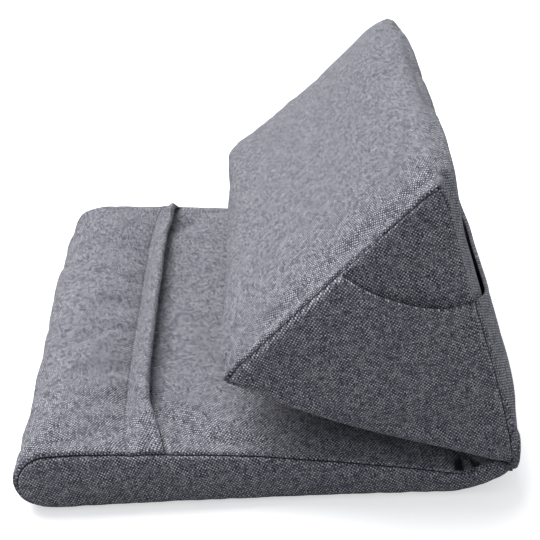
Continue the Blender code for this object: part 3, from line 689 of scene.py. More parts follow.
def build_base(sizes, cloth):
    """The base: filled out between its seams and grooved along the lip's stitch line."""
    fine, stitch = base_grids("form")
    wrap = fine[0]
    sewn = [wrap.points[:, 0], wrap.points[:, -1]]
    channel = wrap.points[int(np.argmin(np.abs(wrap.rows - stitch)))]
    coarse = base_grids("cloth")[0]
    points, place, move = filled_out("base_form", fine, coarse, sewn + [channel], sizes)
    seam = SeamMap(sewn, points)
    groove = SeamMap([channel], points).distance
    points = points + move * (smooth(seam.distance / HELD_REACH) * off_hinge(points))[:, None]
    normals = outward_normals(points, grid_faces(fine, place)[1])
    lift = seam_relief(seam, sizes.seam_depth, sizes.pucker_height)
    lift -= sizes.channel_depth * bell(groove, CHANNEL_WIDTH)
    lift += uneven(points, BASE_WAVES) * smooth(seam.distance / CALM_REACH)
    folds = tucks(points)
    # Painted shade in the seams' creases and in the folds beside the hinge
    shade = np.maximum(painted_shade(seam), TUCK_SHADE * smooth(folds / 0.0024))
    points = fuller_nose(points + normals * (lift - folds)[:, None])
    points[:, 2] = rested(points[:, 2])
    made = closed_mesh("base_cushion", points, fine, place, cloth, shade)
    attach(made, "base")
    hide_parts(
        "base_front_panel", "base_top_panel", "base_bottom_panel", "base_foam",
        "base_gusset_right", "base_gusset_left",
    )


def fuller_nose(points):
    """The nose stands out a little further towards its far end, as in the photograph."""
    front = smooth((NOSE_Y + 0.030 - points[:, 1]) / 0.030)
    far = smooth((0.060 - points[:, 0]) / 0.180) * fullness(points[:, 0] / (CUSHION_WIDTH / 2), 0.4)
    result = points.copy()
    result[:, 1] -= FAR_NOSE_RUN * front * far
    return result


def tucks(points):
    """Depth of the small folds in the base's upper cloth beside the hinge."""
    depth = np.zeros(len(points))
    above = smooth((points[:, 2] - 0.0090) / 0.002)
    for sign in (1.0, -1.0):
        inward = CUSHION_WIDTH / 2 - points[:, 0] * sign
        fade = smooth(1.0 - inward / TUCK_LENGTH) * smooth((inward - CLOTH) / 0.0040)
        for place, slant, deep in TUCKS:
            depth += deep * bell(points[:, 1] - place - slant * inward, TUCK_WIDTH) * fade * above
    return depth


def rested(heights):
    """Heights eased flat where they would sink into the surface below."""
    floor, ease = 0.0001, 0.0012
    low = heights < ease
    flattened = floor + (ease - floor) * np.exp((heights - ease) / (ease - floor))
    return np.where(low, flattened, heights)


def wedge_lines():
    """The wedge's outline as the cloth's outer face, as three lines that meet at its corners."""
    front = HINGE + np.array([-WEDGE_REACH, WEDGE_FRONT_HEIGHT])
    ridge = HINGE + np.array([-RIDGE_SETBACK, RIDGE_HEIGHT])
    low, high = front - HINGE, ridge - HINGE
    angle = (math.atan2(low[1], low[0]) + math.atan2(high[1], high[0])) / 2
    tail = HINGE + polar(WEDGE_TAIL_RUN, angle)
    share = np.linspace(0.0, 1.0, 160)[:, None]

    def run(start, end, bow, skew=1.0):
        """A side of the outline, bowed out; a skew past 1 moves the bow towards its end."""
        side = np.array([start[1] - end[1], end[0] - start[0]])
        side /= np.linalg.norm(side)
        line = start + (end - start) * share
        return line + side * (bow * np.sin(np.pi * share**skew) + CLOTH * smooth(hump(share) * 4))

    under = run(tail, front, UNDERSIDE_BOW, UNDERSIDE_BOW_SKEW)
    return under, run(front, ridge, 0.0), run(ridge, tail, BACK_BOW, BACK_BOW_SKEW)


def zip_place():
    """The middle of the zip on the underside's line, its way towards the front and its way out."""
    under = wedge_lines()[0]
    run = lengths(under)
    middle = along(under, np.array([run[-1] - ZIP_SETBACK]))[0]
    ahead = along(under, np.array([run[-1] - ZIP_SETBACK + 0.002]))[0] - middle
    ahead /= np.linalg.norm(ahead)
    return middle, ahead, np.array([-ahead[1], ahead[0]])


def zip_relief(points):
    """The zip's folded edges, the trough of its tapes, the seam past its ends and its painted
    shade.
    """
    middle, ahead, out = zip_place()
    offset = points[:, 1:] - middle
    across, height = np.abs(offset @ ahead), np.abs(offset @ out)
    here = (height < 0.008) & (across < 0.016)
    open_part = 1.0 - smooth((np.abs(points[:, 0]) - ZIP_LENGTH / 2) / ZIP_END_RUN)
    trough = smooth((across - ZIP_TAPE_WIDTH + ZIP_FOLD_OFFSET) / ZIP_TROUGH_EDGE)
    trough = -ZIP_TROUGH_DEPTH * (1.0 - trough)
    fold = ZIP_FOLD_HEIGHT * bell(across - ZIP_TAPE_WIDTH - ZIP_FOLD_OFFSET, ZIP_FOLD_WIDTH)
    sewn = -ZIP_SEAM_DEPTH * bell(across, ZIP_SEAM_WIDTH)
    lift = (trough + fold) * open_part + sewn * (1.0 - open_part)
    shade = np.clip(1.0 - across / 0.0012, 0.0, 1.0) * (1.0 - open_part)
    return np.where(here, lift, 0.0), np.where(here, shade, 0.0)


def wedge_grids(detail):
    """The wedge as grids: all round from tail to tail, and the triangle at each side."""
    outlines = wedge_lines()
    under, face, back = (lengths(line)[-1] for line in outlines)
    steps = ROW_STEPS[detail]
    floor_rows, face_rows = graded(under, *steps), graded(face, *steps)
    if detail == "form":
        floor_rows = pulled_to(floor_rows, under - ZIP_SETBACK, 0.016, 0.30)
    rows = floor_rows, face_rows, graded(back, *steps, count=len(face_rows) - 1)
    seams = [
        along(drawn_seam(line, HALF_WIDTH, SIDE_DRAW), run) for line, run in zip(outlines, rows)
    ]
    ways = [line_normals(along(line, run)) for line, run in zip(outlines, rows)]
    fans = 7 if detail == "form" else 4
    turn = np.linspace(0.0, 1.0, fans + 2)[1:-1, None]
    pieces, normals, places = [], [], []
    for k, (seam, way, run) in enumerate(zip(seams, ways, rows)):
        pieces.append(seam)
        normals.append(way)
        places.append(run / run[-1] + 1.1 * k)
        if k < 2:
            blend = way[-1] * (1 - turn) + ways[k + 1][0] * turn
            pieces.append(np.repeat(seam[-1:], fans, axis=0))
            normals.append(blend / np.linalg.norm(blend, axis=1)[:, None])
            places.append(1.1 * k + 1.0 + turn[:, 0] * 0.1)
    seam, way, place = (np.concatenate(parts) for parts in (pieces, normals, places))
    crowns, sharpness = eased(place, WEDGE_CROWNS), eased(place, WEDGE_SHARPNESS)
    columns = graded(CUSHION_WIDTH, *COLUMN_STEPS[detail])
    points = lofted(seam, way, crowns, np.zeros(len(crowns)), columns, sharpness)
    pattern = pattern_map(columns, lengths(points[:, len(columns) // 2]))
    wrap = Grid(points, place, columns, pattern)
    side = wedge_side(seams, floor_rows / floor_rows[-1], face_rows / face_rows[-1])
    return [wrap, side, side.mirrored()]


def wedge_side(seams, floor_shares, face_shares):
    """The right side of the wedge: columns run from front to back and rows up to the apex."""
    under, face, back = seams
    floor, rear = under[::-1], back[::-1]
    u = (1.0 - floor_shares[::-1])[None, :, None]
    v = face_shares[:, None, None]
    straight = floor[0] * (1 - u) + floor[-1] * u
    points = face[:, None] * (1 - u) + rear[:, None] * u + (floor[None] - straight) * (1 - v) ** 2
    bubble = (hump(u[..., 0]) * hump(v[..., 0])) ** 0.6
    points[..., 0] += SIDE_PUFF * bubble * (1 - v[..., 0] / 2)
    return Grid(points, face_shares, u[0, :, 0], points[..., 1:].copy())


def sagged(points):
    """The far end of the ridge droops a little and its corner is blunt, as in the photograph."""
    far = smooth((-points[..., 0] - SAG_START) / SAG_RUN)
    high = smooth((points[..., 2] - HINGE[1] - SAG_FOOT) / (RIDGE_HEIGHT - SAG_FOOT))
    corner = np.array([-CUSHION_WIDTH / 2, HINGE[0] - RIDGE_SETBACK, HINGE[1] + RIDGE_HEIGHT])
    distance = np.linalg.norm(points - corner, axis=-1)
    moved = points + (far * high)[..., None] * SAG
    for reach, move in CORNER_MOVES:
        moved = moved + bell(distance, reach)[..., None] * move
    return moved


def quiet_seam(points):
    """Less than 1 where the rear side seam hardly shows, between the ridge and the pocket's hem."""
    behind = smooth((points[:, 1] - (HINGE[0] - RIDGE_SETBACK + 0.003)) / 0.004)
    low = smooth((HINGE[1] + RIDGE_HEIGHT * BACK_HEM_SHARE - points[:, 2]) / 0.006)
    return 1.0 - 0.65 * behind * (1.0 - low)


def build_wedge(sizes, cloth):
    """The wedge: filled out between its side seams, with the zip's place in its underside."""
    fine = wedge_grids("form")
    sewn = [fine[0].points[:, 0], fine[0].points[:, -1]]
    points, place, move = filled_out("wedge_form", fine, wedge_grids("cloth"), sewn, sizes)
    faces = grid_faces(fine, place)[1]
    seam = SeamMap(sewn, points)
    below = outward_normals(points, faces)[:, 2] < -0.6
    freedom = smooth(seam.distance / HELD_REACH) * off_hinge(points)
    freedom *= np.where(below, UNDERSIDE_FREEDOM, 1.0)
    points = points + move * freedom[:, None]
    quiet = quiet_seam(points)
    zip_lift, zip_shade = zip_relief(points)
    lift = seam_relief(seam, sizes.seam_depth, sizes.pucker_height) * quiet + zip_lift
    lift += uneven(points, WEDGE_WAVES) * smooth(seam.distance / CALM_REACH)
    # Painted shade in the side seams' creases and in the seam past the zip's ends
    shade = np.maximum(painted_shade(seam) * quiet, zip_shade)
    points = sagged(points + outward_normals(points, faces) * lift[:, None])
    made = closed_mesh("wedge_cushion", points, fine, place, cloth, shade)
    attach(made, "wedge")
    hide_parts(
        "wedge_wrap_panel", "wedge_side_right", "wedge_side_left", "wedge_underside_front",
        "wedge_underside_rear", "wedge_foam",
    )


def surface_of(name):
    """The finished faces of a piece, to lay other pieces on."""
    return BVHTree.FromObject(bpy.data.objects[name], bpy.context.evaluated_depsgraph_get())


def laid(tree, points, ways, lift):
    """Points moved along their ways to stand off a surface by lift."""
    ways = np.broadcast_to(ways, points.shape).reshape(-1, 3)
    lift = np.broadcast_to(lift, points.shape[:-1]).ravel()
    result = []
    for point, way, rise in zip(points.reshape(-1, 3), ways, lift):
        way = Vector(way)
        hit = tree.ray_cast(Vector(point) + way * 0.03, -way)[0]
        result.append((hit if hit is not None else Vector(point)) + way * rise)
    return np.array([list(spot) for spot in result]).reshape(points.shape)


def thick_sheet(name, outer, inner, pattern, material, sewn=()):
    """A closed sheet of cloth between two grids, its crease shaded along the sewn edges."""
    rows, columns = np.arange(float(outer.shape[0])), np.arange(float(outer.shape[1]))
    grids = [Grid(face, rows, columns, pattern) for face in (outer, inner)]
    for rim in ((0,), (-1,), (slice(None), 0), (slice(None), -1)):
        grids.append(strip(outer[rim], inner[rim], pattern[rim]))
    points, place = joined(grids)
    shade = painted_shade(SeamMap(sewn, points)) if sewn else None
    return closed_mesh(name, points, grids, place, material, shade)


def bead_group():
    """Beads set at even distances along lines: stitches of thread, or the teeth of a zip."""
    tree = bpy.data.node_groups.new("beads_on_lines", "GeometryNodeTree")
    for label, kind in (
        ("Geometry", "Geometry"), ("Pitch", "Float"), ("Width", "Float"), ("Length", "Float"),
        ("Turn", "Vector"), ("Along Line", "Bool"), ("Stagger", "Vector"), ("Material", "Material"),
    ):
        tree.interface.new_socket(label, in_out="INPUT", socket_type="NodeSocket" + kind)
    tree.interface.new_socket("Geometry", in_out="OUTPUT", socket_type="NodeSocketGeometry")
    given = tree.nodes.new("NodeGroupInput").outputs

    def step(kind, inputs=(), **settings):
        """The outputs of a new geometry node."""
        return new_node(tree, "GeometryNode" + kind, inputs, **settings).outputs

    line = step("MeshToCurve", {"Mesh": given["Geometry"]})["Curve"]
    spots = step("CurveToPoints", {"Curve": line, "Length": given["Pitch"]}, mode="LENGTH")
    parity = maths(tree, "FLOORED_MODULO", step("InputIndex")["Index"], 2.0)
    aside = {0: given["Stagger"], "Scale": maths(tree, "SUBTRACT", parity, 0.5)}
    offset = new_node(tree, "ShaderNodeVectorMath", aside, operation="SCALE").outputs["Vector"]
    moved = step("SetPosition", {"Geometry": spots["Points"], "Offset": offset})["Geometry"]
    ball = step("MeshUVSphere", {"Segments": 8, "Rings": 6, "Radius": 0.5})["Mesh"]
    size = vector_of(tree, given["Width"], given["Width"], given["Length"])
    bead = step("Transform", {"Geometry": ball, "Scale": size})["Geometry"]
    turned = step("Transform", {"Geometry": bead, "Rotation": given["Turn"]})["Geometry"]
    choice = {"Switch": given["Along Line"], "True": spots["Rotation"]}
    turn = step("Switch", choice, input_type="ROTATION")["Output"]
    placed = step("InstanceOnPoints", {"Points": moved, "Instance": turned, "Rotation": turn})
    real = step("RealizeInstances", {"Geometry": placed["Instances"]})["Geometry"]
    rounded = step("SetShadeSmooth", {"Geometry": real})["Geometry"]
    dressed = step("SetMaterial", {"Geometry": rounded, "Material": given["Material"]})["Geometry"]
    set_input(tree, tree.nodes.new("NodeGroupOutput").inputs["Geometry"], dressed)
    return tree


def beads(name, lines, pitch, width, length, material, turn=None, stagger=(0.0, 0.0, 0.0)):
    """One plain mesh of beads along lines; they follow the lines unless they are given a turn."""
    points, edges = [], []
    for line in lines:
        edges.extend((len(points) + k, len(points) + k + 1) for k in range(len(line) - 1))
        points.extend(line.tolist())
    data = bpy.data.meshes.new(name + "_lines")
    data.from_pydata(points, edges, [])
    guide = bpy.data.objects.new(name + "_lines", data)
    bpy.context.scene.collection.objects.link(guide)
    group = bpy.data.node_groups.get("beads_on_lines") or bead_group()
    modifier = guide.modifiers.new("beads", "NODES")
    modifier.node_group = group
    values = {
        "Pitch": pitch, "Width": width, "Length": length, "Turn": turn or (0.0, 0.0, 0.0),
        "Along Line": turn is None, "Stagger": stagger, "Material": material,
    }
    for socket in group.interface.items_tree:
        if socket.in_out == "INPUT" and socket.name in values:
            modifier[socket.identifier] = values[socket.name]
    shape = guide.evaluated_get(bpy.context.evaluated_depsgraph_get())
    mesh = bpy.data.meshes.new_from_object(shape)
    bpy.data.objects.remove(guide, do_unlink=True)
    bpy.data.meshes.remove(data)
    mesh.name = name
    made = bpy.data.objects.new(name, mesh)
    bpy.context.scene.collection.objects.link(made)
    return made


def stitches(name, lines, body, material):
    """Thread stitches along lines that lie on a cloth."""
    made = beads(name, lines, STITCH_PITCH, THREAD_WIDTH, STITCH_LENGTH, material)
    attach(made, body)


def build_zip(tape, coil, thread):
    """The zip's two tapes, its coil and the stitches beside it."""
    tree = surface_of("wedge_cushion")
    middle, ahead, out = zip_place()

    def on_underside(x, across, lift):
        """Points on the underside, at distances across the zip, lifted off the cloth."""
        flat = middle + across[..., None] * ahead
        points = np.stack([x, flat[..., 0], flat[..., 1]], axis=-1)
        return laid(tree, points, np.array([0.0, *out]), lift)

    x = np.linspace(-ZIP_LENGTH / 2, ZIP_LENGTH / 2, 122)
    for sign, name in ((1.0, "front"), (-1.0, "rear")):
        across = sign * np.linspace(0.0003, ZIP_TAPE_WIDTH, 8)
        spread_x, spread = np.broadcast_arrays(x[None, :], across[:, None])
        inner, outer = (on_underside(spread_x, spread, lift) for lift in (0.00005, 0.00045))
        pattern = np.stack([spread_x, spread], axis=2)
        made = thick_sheet("zip_tape_weave_" + name, outer, inner, pattern, tape)
        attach(made, "wedge")
        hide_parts("zip_tape_" + name)
    line_x = np.linspace(-COIL_LENGTH / 2, COIL_LENGTH / 2, 60)
    line = on_underside(line_x, np.zeros(60), 0.0)
    line[:, 1:] = middle + out * (np.median((line[:, 1:] - middle) @ out) + COIL_HEIGHT)
    teeth = beads(
        "zip_coil_teeth", [line], COIL_PITCH, TOOTH_WIDTH, TOOTH_LENGTH, coil,
        turn=(math.atan2(ahead[1], ahead[0]) - math.pi / 2, 0.0, 0.0),
        stagger=tuple(TOOTH_STAGGER * np.array([0.0, *ahead])),
    )
    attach(teeth, "wedge")
    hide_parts("zip_coil")
    edge_x = np.linspace(-ZIP_LENGTH / 2 - 0.004, ZIP_LENGTH / 2 + 0.004, 90)
    edge = ZIP_TAPE_WIDTH + 0.0022
    edges = [on_underside(edge_x, np.full(90, side), THREAD_LIFT) for side in (edge, -edge)]
    stitches("zip_edge_stitches", edges, "wedge", thread)


def build_lip(cloth, thread):
    """The padded lip: a filled fold sewn down along the stitch line, its ends in the side seams."""
    tree = surface_of("base_cushion")
    top, _ = base_lines()
    seams = drawn_seam(top, CUSHION_WIDTH / 2, SIDE_DRAW)[:, 0]
    seam_half = np.interp(NOSE_Y + STITCH_SETBACK, top[:, 0], seams) - SEAM_GAP
    columns = graded(2 * seam_half, 0.0008, 0.0028, 0.08)
    across = columns / columns[-1] * 2 - 1
    half = seam_half * across
    flare = np.where(across > 0.0, LIP_END_SHARE, LIP_FAR_END_SHARE)
    end = smooth((np.abs(across) - flare) / (1.0 - flare))
    root = NOSE_Y + STITCH_SETBACK - STITCH_BOW * fullness(across)
    depth = LIP_DEPTH + LIP_END_RUN * end * (across > 0.0)
    bend = 1.0 - LIP_BEND_SHARE
    flat = np.linspace(0.0, LIP_BEND_SHARE, LIP_FLAT_STEPS)
    bent = np.sin(np.linspace(0.2, 1.0, LIP_BEND_STEPS) * math.pi / 2)
    bent = LIP_BEND_SHARE + bend * bent
    turn = np.concatenate([flat, bent])
    full = np.sqrt(np.clip(1 - ((turn - LIP_BEND_SHARE) / bend).clip(0) ** 2, 0, 1))
    full *= smooth(0.06 + turn / 0.55)
    share = np.concatenate([turn, turn[-2::-1]])[:, None]
    side = np.concatenate([full, -full[-2::-1]])[:, None]
    x = np.broadcast_to(half, (len(share), len(half)))
    y = root - LIP_ROOT_TUCK + depth * share
    below = laid(tree, np.stack([x, y, np.full_like(x, ABOVE_LIP)], axis=2), UP, 0.0)[..., 2]
    below = np.maximum(below, np.interp(y, top[:, 0], top[:, 1]) - LIP_ROOT_TUCK)
    sewn_end = smooth((seam_half - np.abs(half)) / 0.007)
    thick = LIP_THICKNESS * (1 - LIP_END_THINNING * end) * (0.45 + 0.55 * sewn_end)
    wobble = LIP_WOBBLE * waves(half[:, None] * [1.0, 0.0, 0.0], 0.021, 5.5)
    far_end = smooth((-across - 0.45) / 0.45)
    rise = (LIP_RISE * (1.0 - LIP_FAR_DROOP * far_end) + wobble * 4) * (1.0 - end) * share**1.15
    z = below + 0.0002 * sewn_end + thick / 2 + rise + side * thick / 2
    z -= 0.0009 * (1 - smooth(share / 0.22)) * sewn_end
    y = y - rise * side * 0.18 + wobble * share
    points = np.stack([x, y, z], axis=2)
    points[..., 2] += 0.0003 * waves(points, (0.0065, 0.014, 0.1), 1.7) * sewn_end
    rows = lengths(points[:, len(half) // 2])
    grids = [Grid(points, rows, columns, pattern_map(columns, rows))]
    for column in (0, -1):
        ring = points[:, column]
        grids.append(strip(ring[: len(turn)], ring[::-1][: len(turn)]))
    merged, place = joined(grids)
    # Painted shade along the lip's folded lower edge towards its ends
    under = smooth((0.95 - side) / 0.45) * smooth((share - 0.60) / 0.25)
    under = under * end[None, :] * LIP_END_SHADE
    shade = averaged(np.concatenate([under.ravel(), np.zeros(6 * len(turn))]), place, len(merged))
    made = closed_mesh("ledge_lip", merged, grids, place, cloth, shade)
    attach(made, "base")
    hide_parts("ledge_lip_cover", "ledge_lip_filler")
    x = np.linspace(-seam_half + LIP_STITCH_MARGIN, seam_half - LIP_STITCH_MARGIN, 110)
    y = np.interp(x, half, root) - LIP_STITCH_SETBACK
    spots = np.stack([x, y, np.full_like(x, ABOVE_LIP)], axis=1)
    stitches("lip_stitches", [laid(tree, spots, UP, LIP_STITCH_LIFT)], "base", thread)


def pocket_cloth(name, points, ways, pattern, foot, edge, from_hem, loose, slack, cloth, sizes):
    """A pocket's cloth laid on the wedge: puckered at its sewn edges, slack at its rolled hem.

    foot is its sewn row, edge the distance to a sewn edge and loose its own unevenness.
    """
    tree = surface_of("wedge_cushion")
    free = smooth(edge / POCKET_FREE_RUN)
    sewn = [points[:, 0], points[foot], points[:, -1]]
    seams = SeamMap(sewn, points.reshape(-1, 3))
    relief = seam_relief(seams, POCKET_SEAM_DEPTH, sizes.pucker_height)
    slack = slack + (loose + POCKET_EASE) * smooth(edge / POCKET_EASE_RUN)
    gap = POCKET_GAP + POCKET_LIFT * free + slack * free
    gap = np.maximum(gap + relief.reshape(free.shape) * free, POCKET_GAP)
    roll = HEM_ROLL * bell(from_hem, HEM_ROLL_WIDTH)
    roll = roll - HEM_GROOVE * bell(from_hem - HEM_DEPTH, HEM_GROOVE_WIDTH)
    inner = laid(tree, points, ways, gap)
    outer = laid(tree, points, ways, gap + POCKET_LIFT + (POCKET_THICKNESS + roll) * free)
    laid_sewn = [outer[:, 0], outer[foot], outer[:, -1]]
    return thick_sheet(name, outer, inner, pattern, cloth, laid_sewn), outer


def build_side_pockets(sizes, cloth, thread):
    """The cloth over the lower part of each side, open along its hem."""
    side = wedge_grids("form")[1]
    u, v = graded(1.0, 0.005, 0.018, 0.12), graded(1.0, 0.008, 0.026, 0.12)
    hem = SIDE_HEM_FRONT_SHARE + (SIDE_HEM_REAR_SHARE - SIDE_HEM_FRONT_SHARE) * u
    hem -= SIDE_HEM_SAG_SHARE * hump(u)
    middle = np.zeros((len(v), len(u), 3))
    for i, share in enumerate(u):
        column = cubic(side.points, side.rows, v * hem[i])
        middle[:, i] = cubic(column.swapaxes(0, 1), side.columns, np.array([share]))[0]
    edge = np.minimum(np.minimum(u, 1 - u)[None, :] * SIDE_POCKET_RUN, v[:, None] * POCKET_HEIGHT)
    slack = sizes.side_pocket_mouth * np.sin(np.pi * u)[None, :] ** 1.2 * v[:, None] ** 2.2
    height, pitch, seed = SIDE_POCKET_WAVE
    for sign, name in ((1.0, "right"), (-1.0, "left")):
        points = sagged(middle * [sign, 1.0, 1.0])
        made, outer = pocket_cloth(
            "side_pocket_cloth_" + name, points, [sign, 0.0, 0.0], points[..., 1:].copy(), 0, edge,
            (1 - v[:, None]) * POCKET_HEIGHT, height * waves(points, pitch, seed * sign),
            slack, cloth, sizes,
        )
        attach(made, "wedge")
        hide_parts("side_pocket_" + name)
        line = cubic(outer, v, np.array([1 - HEM_DEPTH / POCKET_HEIGHT]))[0, 2:-2]
        lifted = [line + [sign * THREAD_LIFT, 0.0, 0.0]]
        stitches("side_pocket_stitches_" + name, lifted, "wedge", thread)


def build_back_pocket(sizes, cloth, thread):
    """The cloth across the back, its hem drooping and standing off between the side seams."""
    back = wedge_lines()[2]
    run = lengths(back)
    columns = graded(CUSHION_WIDTH, 0.0008, 0.0036, 0.10)
    across = columns / CUSHION_WIDTH * 2 - 1
    fall = graded(1.0, 0.009, 0.030, 0.12)
    hem = 1.0 - BACK_HEM_SHARE + BACK_HEM_DROOP_SHARE * fullness(across) ** 1.7
    place = (hem + (0.985 - hem) * fall[:, None]) * run[-1]
    seam = drawn_seam(back, HALF_WIDTH, SIDE_DRAW)
    x, y, z = (np.interp(place, run, column) for column in seam.T)
    ways = [np.interp(place, run, column) for column in line_normals(back).T]
    way = np.stack([np.zeros_like(place)] + ways, axis=2)
    points = sagged(np.stack([x * across, y, z], axis=2))
    side = np.minimum(columns, CUSHION_WIDTH - columns)
    edge = np.minimum(side[None, :], (1 - fall[:, None]) * POCKET_HEIGHT)
    slack = sizes.back_pocket_mouth * (1 - across**2)[None, :] ** 0.45 * (1 - fall[:, None]) ** 1.6
    height, pitch, seed = BACK_POCKET_WAVE
    made, outer = pocket_cloth(
        "back_pocket_cloth", points, way, pattern_map(columns, place), -1, edge,
        fall[:, None] * POCKET_HEIGHT, height * waves(points, pitch, seed),
        slack, cloth, sizes,
    )
    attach(made, "wedge")
    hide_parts("back_pocket")
    line = cubic(outer, fall, np.array([HEM_DEPTH / POCKET_HEIGHT]))[0, 4:-4]
    stitches("back_pocket_stitches", [line + way[0, 4:-4] * THREAD_LIFT], "wedge", thread)


def closed_curve(corners, count):
    """A smooth closed line through corner points, with the first point repeated at the end."""
    ring = np.concatenate([corners[-2:], corners, corners[:3]])
    spots = np.arange(len(ring), dtype=float)
    return cubic(ring, spots, np.linspace(2.0, 2.0 + len(corners), count + 1))


def build_hinge_seam(cloth):
    """The rolled seam that joins the two pillows' rear edges."""
    half = CUSHION_WIDTH / 2 - SIDE_DRAW * 0.1
    ring = closed_curve(HINGE_ROLL, 44)
    columns = graded(2 * half, 0.0006, 0.0030, 0.10)
    x = columns - half
    centre = np.array([0.0004, 0.0004])
    near = np.minimum(columns, 2 * half - columns)
    taper = np.sqrt(1 - (1 - np.minimum(near / HINGE_ROLL_TAPER, 1.0)) ** 2)
    size = HINGE_ROLL_END_SIZE + (1.0 - HINGE_ROLL_END_SIZE) * taper
    places = HINGE + centre + (ring[:, None, :] - centre) * size[None, :, None]
    x = np.broadcast_to(x[None, :, None], places.shape[:2] + (1,))
    points = np.concatenate([x, places], axis=2)
    spokes = ring - ring.mean(axis=0)
    reach = np.linalg.norm(spokes, axis=1)[:, None]
    bumps = 0.0005 * waves(points, (0.0075, 0.012, 0.012), 9.2)
    bumps[-1] = bumps[0]
    bumps *= reach / 0.008 * smooth(near / 0.004)[None, :]
    points[..., 1:] += (spokes / reach)[:, None, :] * bumps[..., None]
    points[-1] = points[0]
    rows = lengths(points[:, len(columns) // 2])
    grids = [Grid(points, rows, columns, pattern_map(columns, rows))]
    for column in (0, -1):
        loop = points[:, column]
        grids.append(strip(loop, np.broadcast_to(loop[:-1].mean(axis=0), loop.shape)))
    merged, place = joined(grids)
    made = closed_mesh("hinge_seam_cloth", merged, grids, place, cloth)
    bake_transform(made)
    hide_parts("base_hinge_tape", "wedge_hinge_tape")


def set_input(tree, socket, value):
    """Links a socket to a node's output, or sets it to a plain value."""
    if isinstance(value, bpy.types.NodeSocket):
        tree.links.new(value, socket)
    else:
        socket.default_value = value


def new_node(tree, kind, inputs=(), **settings):
    """A new node with its settings made and its inputs set or linked."""
    node = tree.nodes.new(kind)
    for name, value in settings.items():
        setattr(node, name, value)
    for name, value in dict(inputs).items():
        set_input(tree, node.inputs[name], value)
    return node


def maths(tree, operation, *values):
    """The output of a sum, product or other operation on numbers."""
    return new_node(tree, "ShaderNodeMath", enumerate(values), operation=operation).outputs["Value"]


def blended(tree, share, before, after):
    """before where share is 0 and after where it is 1, as numbers."""
    inputs = {"Factor": share, "A": before, "B": after}
    return new_node(tree, "ShaderNodeMix", inputs, data_type="FLOAT").outputs["Result"]


def vector_of(tree, x, y, z=0.0):
    """Three numbers as one vector."""
    return new_node(tree, "ShaderNodeCombineXYZ", {"X": x, "Y": y, "Z": z}).outputs["Vector"]


def cloud(tree, place, scale, detail=1.0):
    """Smooth unevenness around 0.5."""
    inputs = {"Vector": place, "Scale": scale, "Detail": detail}
    return new_node(tree, "ShaderNodeTexNoise", inputs, noise_dimensions="3D").outputs["Fac"]


def stretched_cloud(tree, place, stretch):
    """Smooth unevenness around 0.5, finer one way than the other."""
    inputs = {0: place, 1: (*stretch, 1.0)}
    node = new_node(tree, "ShaderNodeVectorMath", inputs, operation="MULTIPLY")
    return cloud(tree, node.outputs["Vector"], 1.0, 2.0)


def new_group(name, values, outputs):
    """A shader node group that reads a place and named values, and puts out named ones."""
    tree = bpy.data.node_groups.new(name, "ShaderNodeTree")
    tree.interface.new_socket("Place", in_out="INPUT", socket_type="NodeSocketVector")
    for label, value in values.items():
        socket = tree.interface.new_socket(label, in_out="INPUT", socket_type="NodeSocketFloat")
        socket.default_value = value
    for label in outputs:
        tree.interface.new_socket(label, in_out="OUTPUT", socket_type="NodeSocketFloat")
    return tree, tree.nodes.new("NodeGroupInput").outputs, tree.nodes.new("NodeGroupOutput").inputs


def weave_group():
    """Plain weave of light and dark yarns: the tone of the yarn on top with painted shade between
    floats, and its float's height.
    """
    values = {
        "Yarn Pitch": 0.00088, "Grain Angle": GRAIN_ANGLE, "Slub Length": SLUB_LENGTH,
        "Heather": 1.35,
    }
    tree, given, out = new_group("plain_weave", values, ("Tone", "Height"))
    angle = {"Vector": given["Place"], "Angle": given["Grain Angle"]}
    turned = new_node(tree, "ShaderNodeVectorRotate", angle, rotation_type="Z_AXIS").outputs[0]
    split = new_node(tree, "ShaderNodeSeparateXYZ", {0: turned}).outputs
    cells = []
    for own, other in ((0, 1), (1, 0)):
        spot = vector_of(tree, maths(tree, "MULTIPLY", split[other], 45.0), split[own], own)
        stray = maths(tree, "MULTIPLY_ADD", cloud(tree, spot, 3.0), 2 * YARN_STRAY, -YARN_STRAY)
        cell = maths(tree, "DIVIDE", split[own], given["Yarn Pitch"])
        cells.append(maths(tree, "ADD", cell, stray))
    yarns = [maths(tree, "FLOOR", cell) for cell in cells]
    inside = [maths(tree, "FRACT", cell) for cell in cells]
    domes = [maths(tree, "SINE", maths(tree, "MULTIPLY", part, math.pi)) for part in inside]
    parity = maths(tree, "FLOORED_MODULO", maths(tree, "ADD", *yarns), 2.0)
    tones = []
    for own, other, lightness, share in ((0, 1, WARP_TONE, 0.6), (1, 0, WEFT_TONE, 1.0)):
        length = maths(tree, "DIVIDE", split[other], given["Slub Length"])
        spot = vector_of(tree, maths(tree, "MULTIPLY", yarns[own], 7.31), length, 3.0 * own)
        slubs = maths(tree, "SUBTRACT", cloud(tree, spot, 1.0, 2.0), 0.5)
        heather = maths(tree, "MULTIPLY", given["Heather"], 2.2 * share)
        tones.append(maths(tree, "ADD", maths(tree, "MULTIPLY", slubs, heather), lightness))
    dome = maths(tree, "MULTIPLY", *domes)
    own_tone = {"Vector": vector_of(tree, *yarns)}
    own_tone = new_node(tree, "ShaderNodeTexWhiteNoise", own_tone, noise_dimensions="3D")
    grain = maths(tree, "MULTIPLY_ADD", own_tone.outputs["Value"], 0.80, 0.60)
    tone = maths(tree, "MULTIPLY", blended(tree, parity, *tones), grain)
    # Painted shade in the hollows between floats: the tone darkens towards each float's edge
    shade = maths(tree, "MULTIPLY_ADD", maths(tree, "POWER", dome, 0.7), 0.92, 0.08)
    shaded = {"Value": maths(tree, "MULTIPLY", tone, shade)}
    set_input(tree, out["Tone"], new_node(tree, "ShaderNodeClamp", shaded).outputs[0])
    set_input(tree, out["Height"], dome)
    return tree


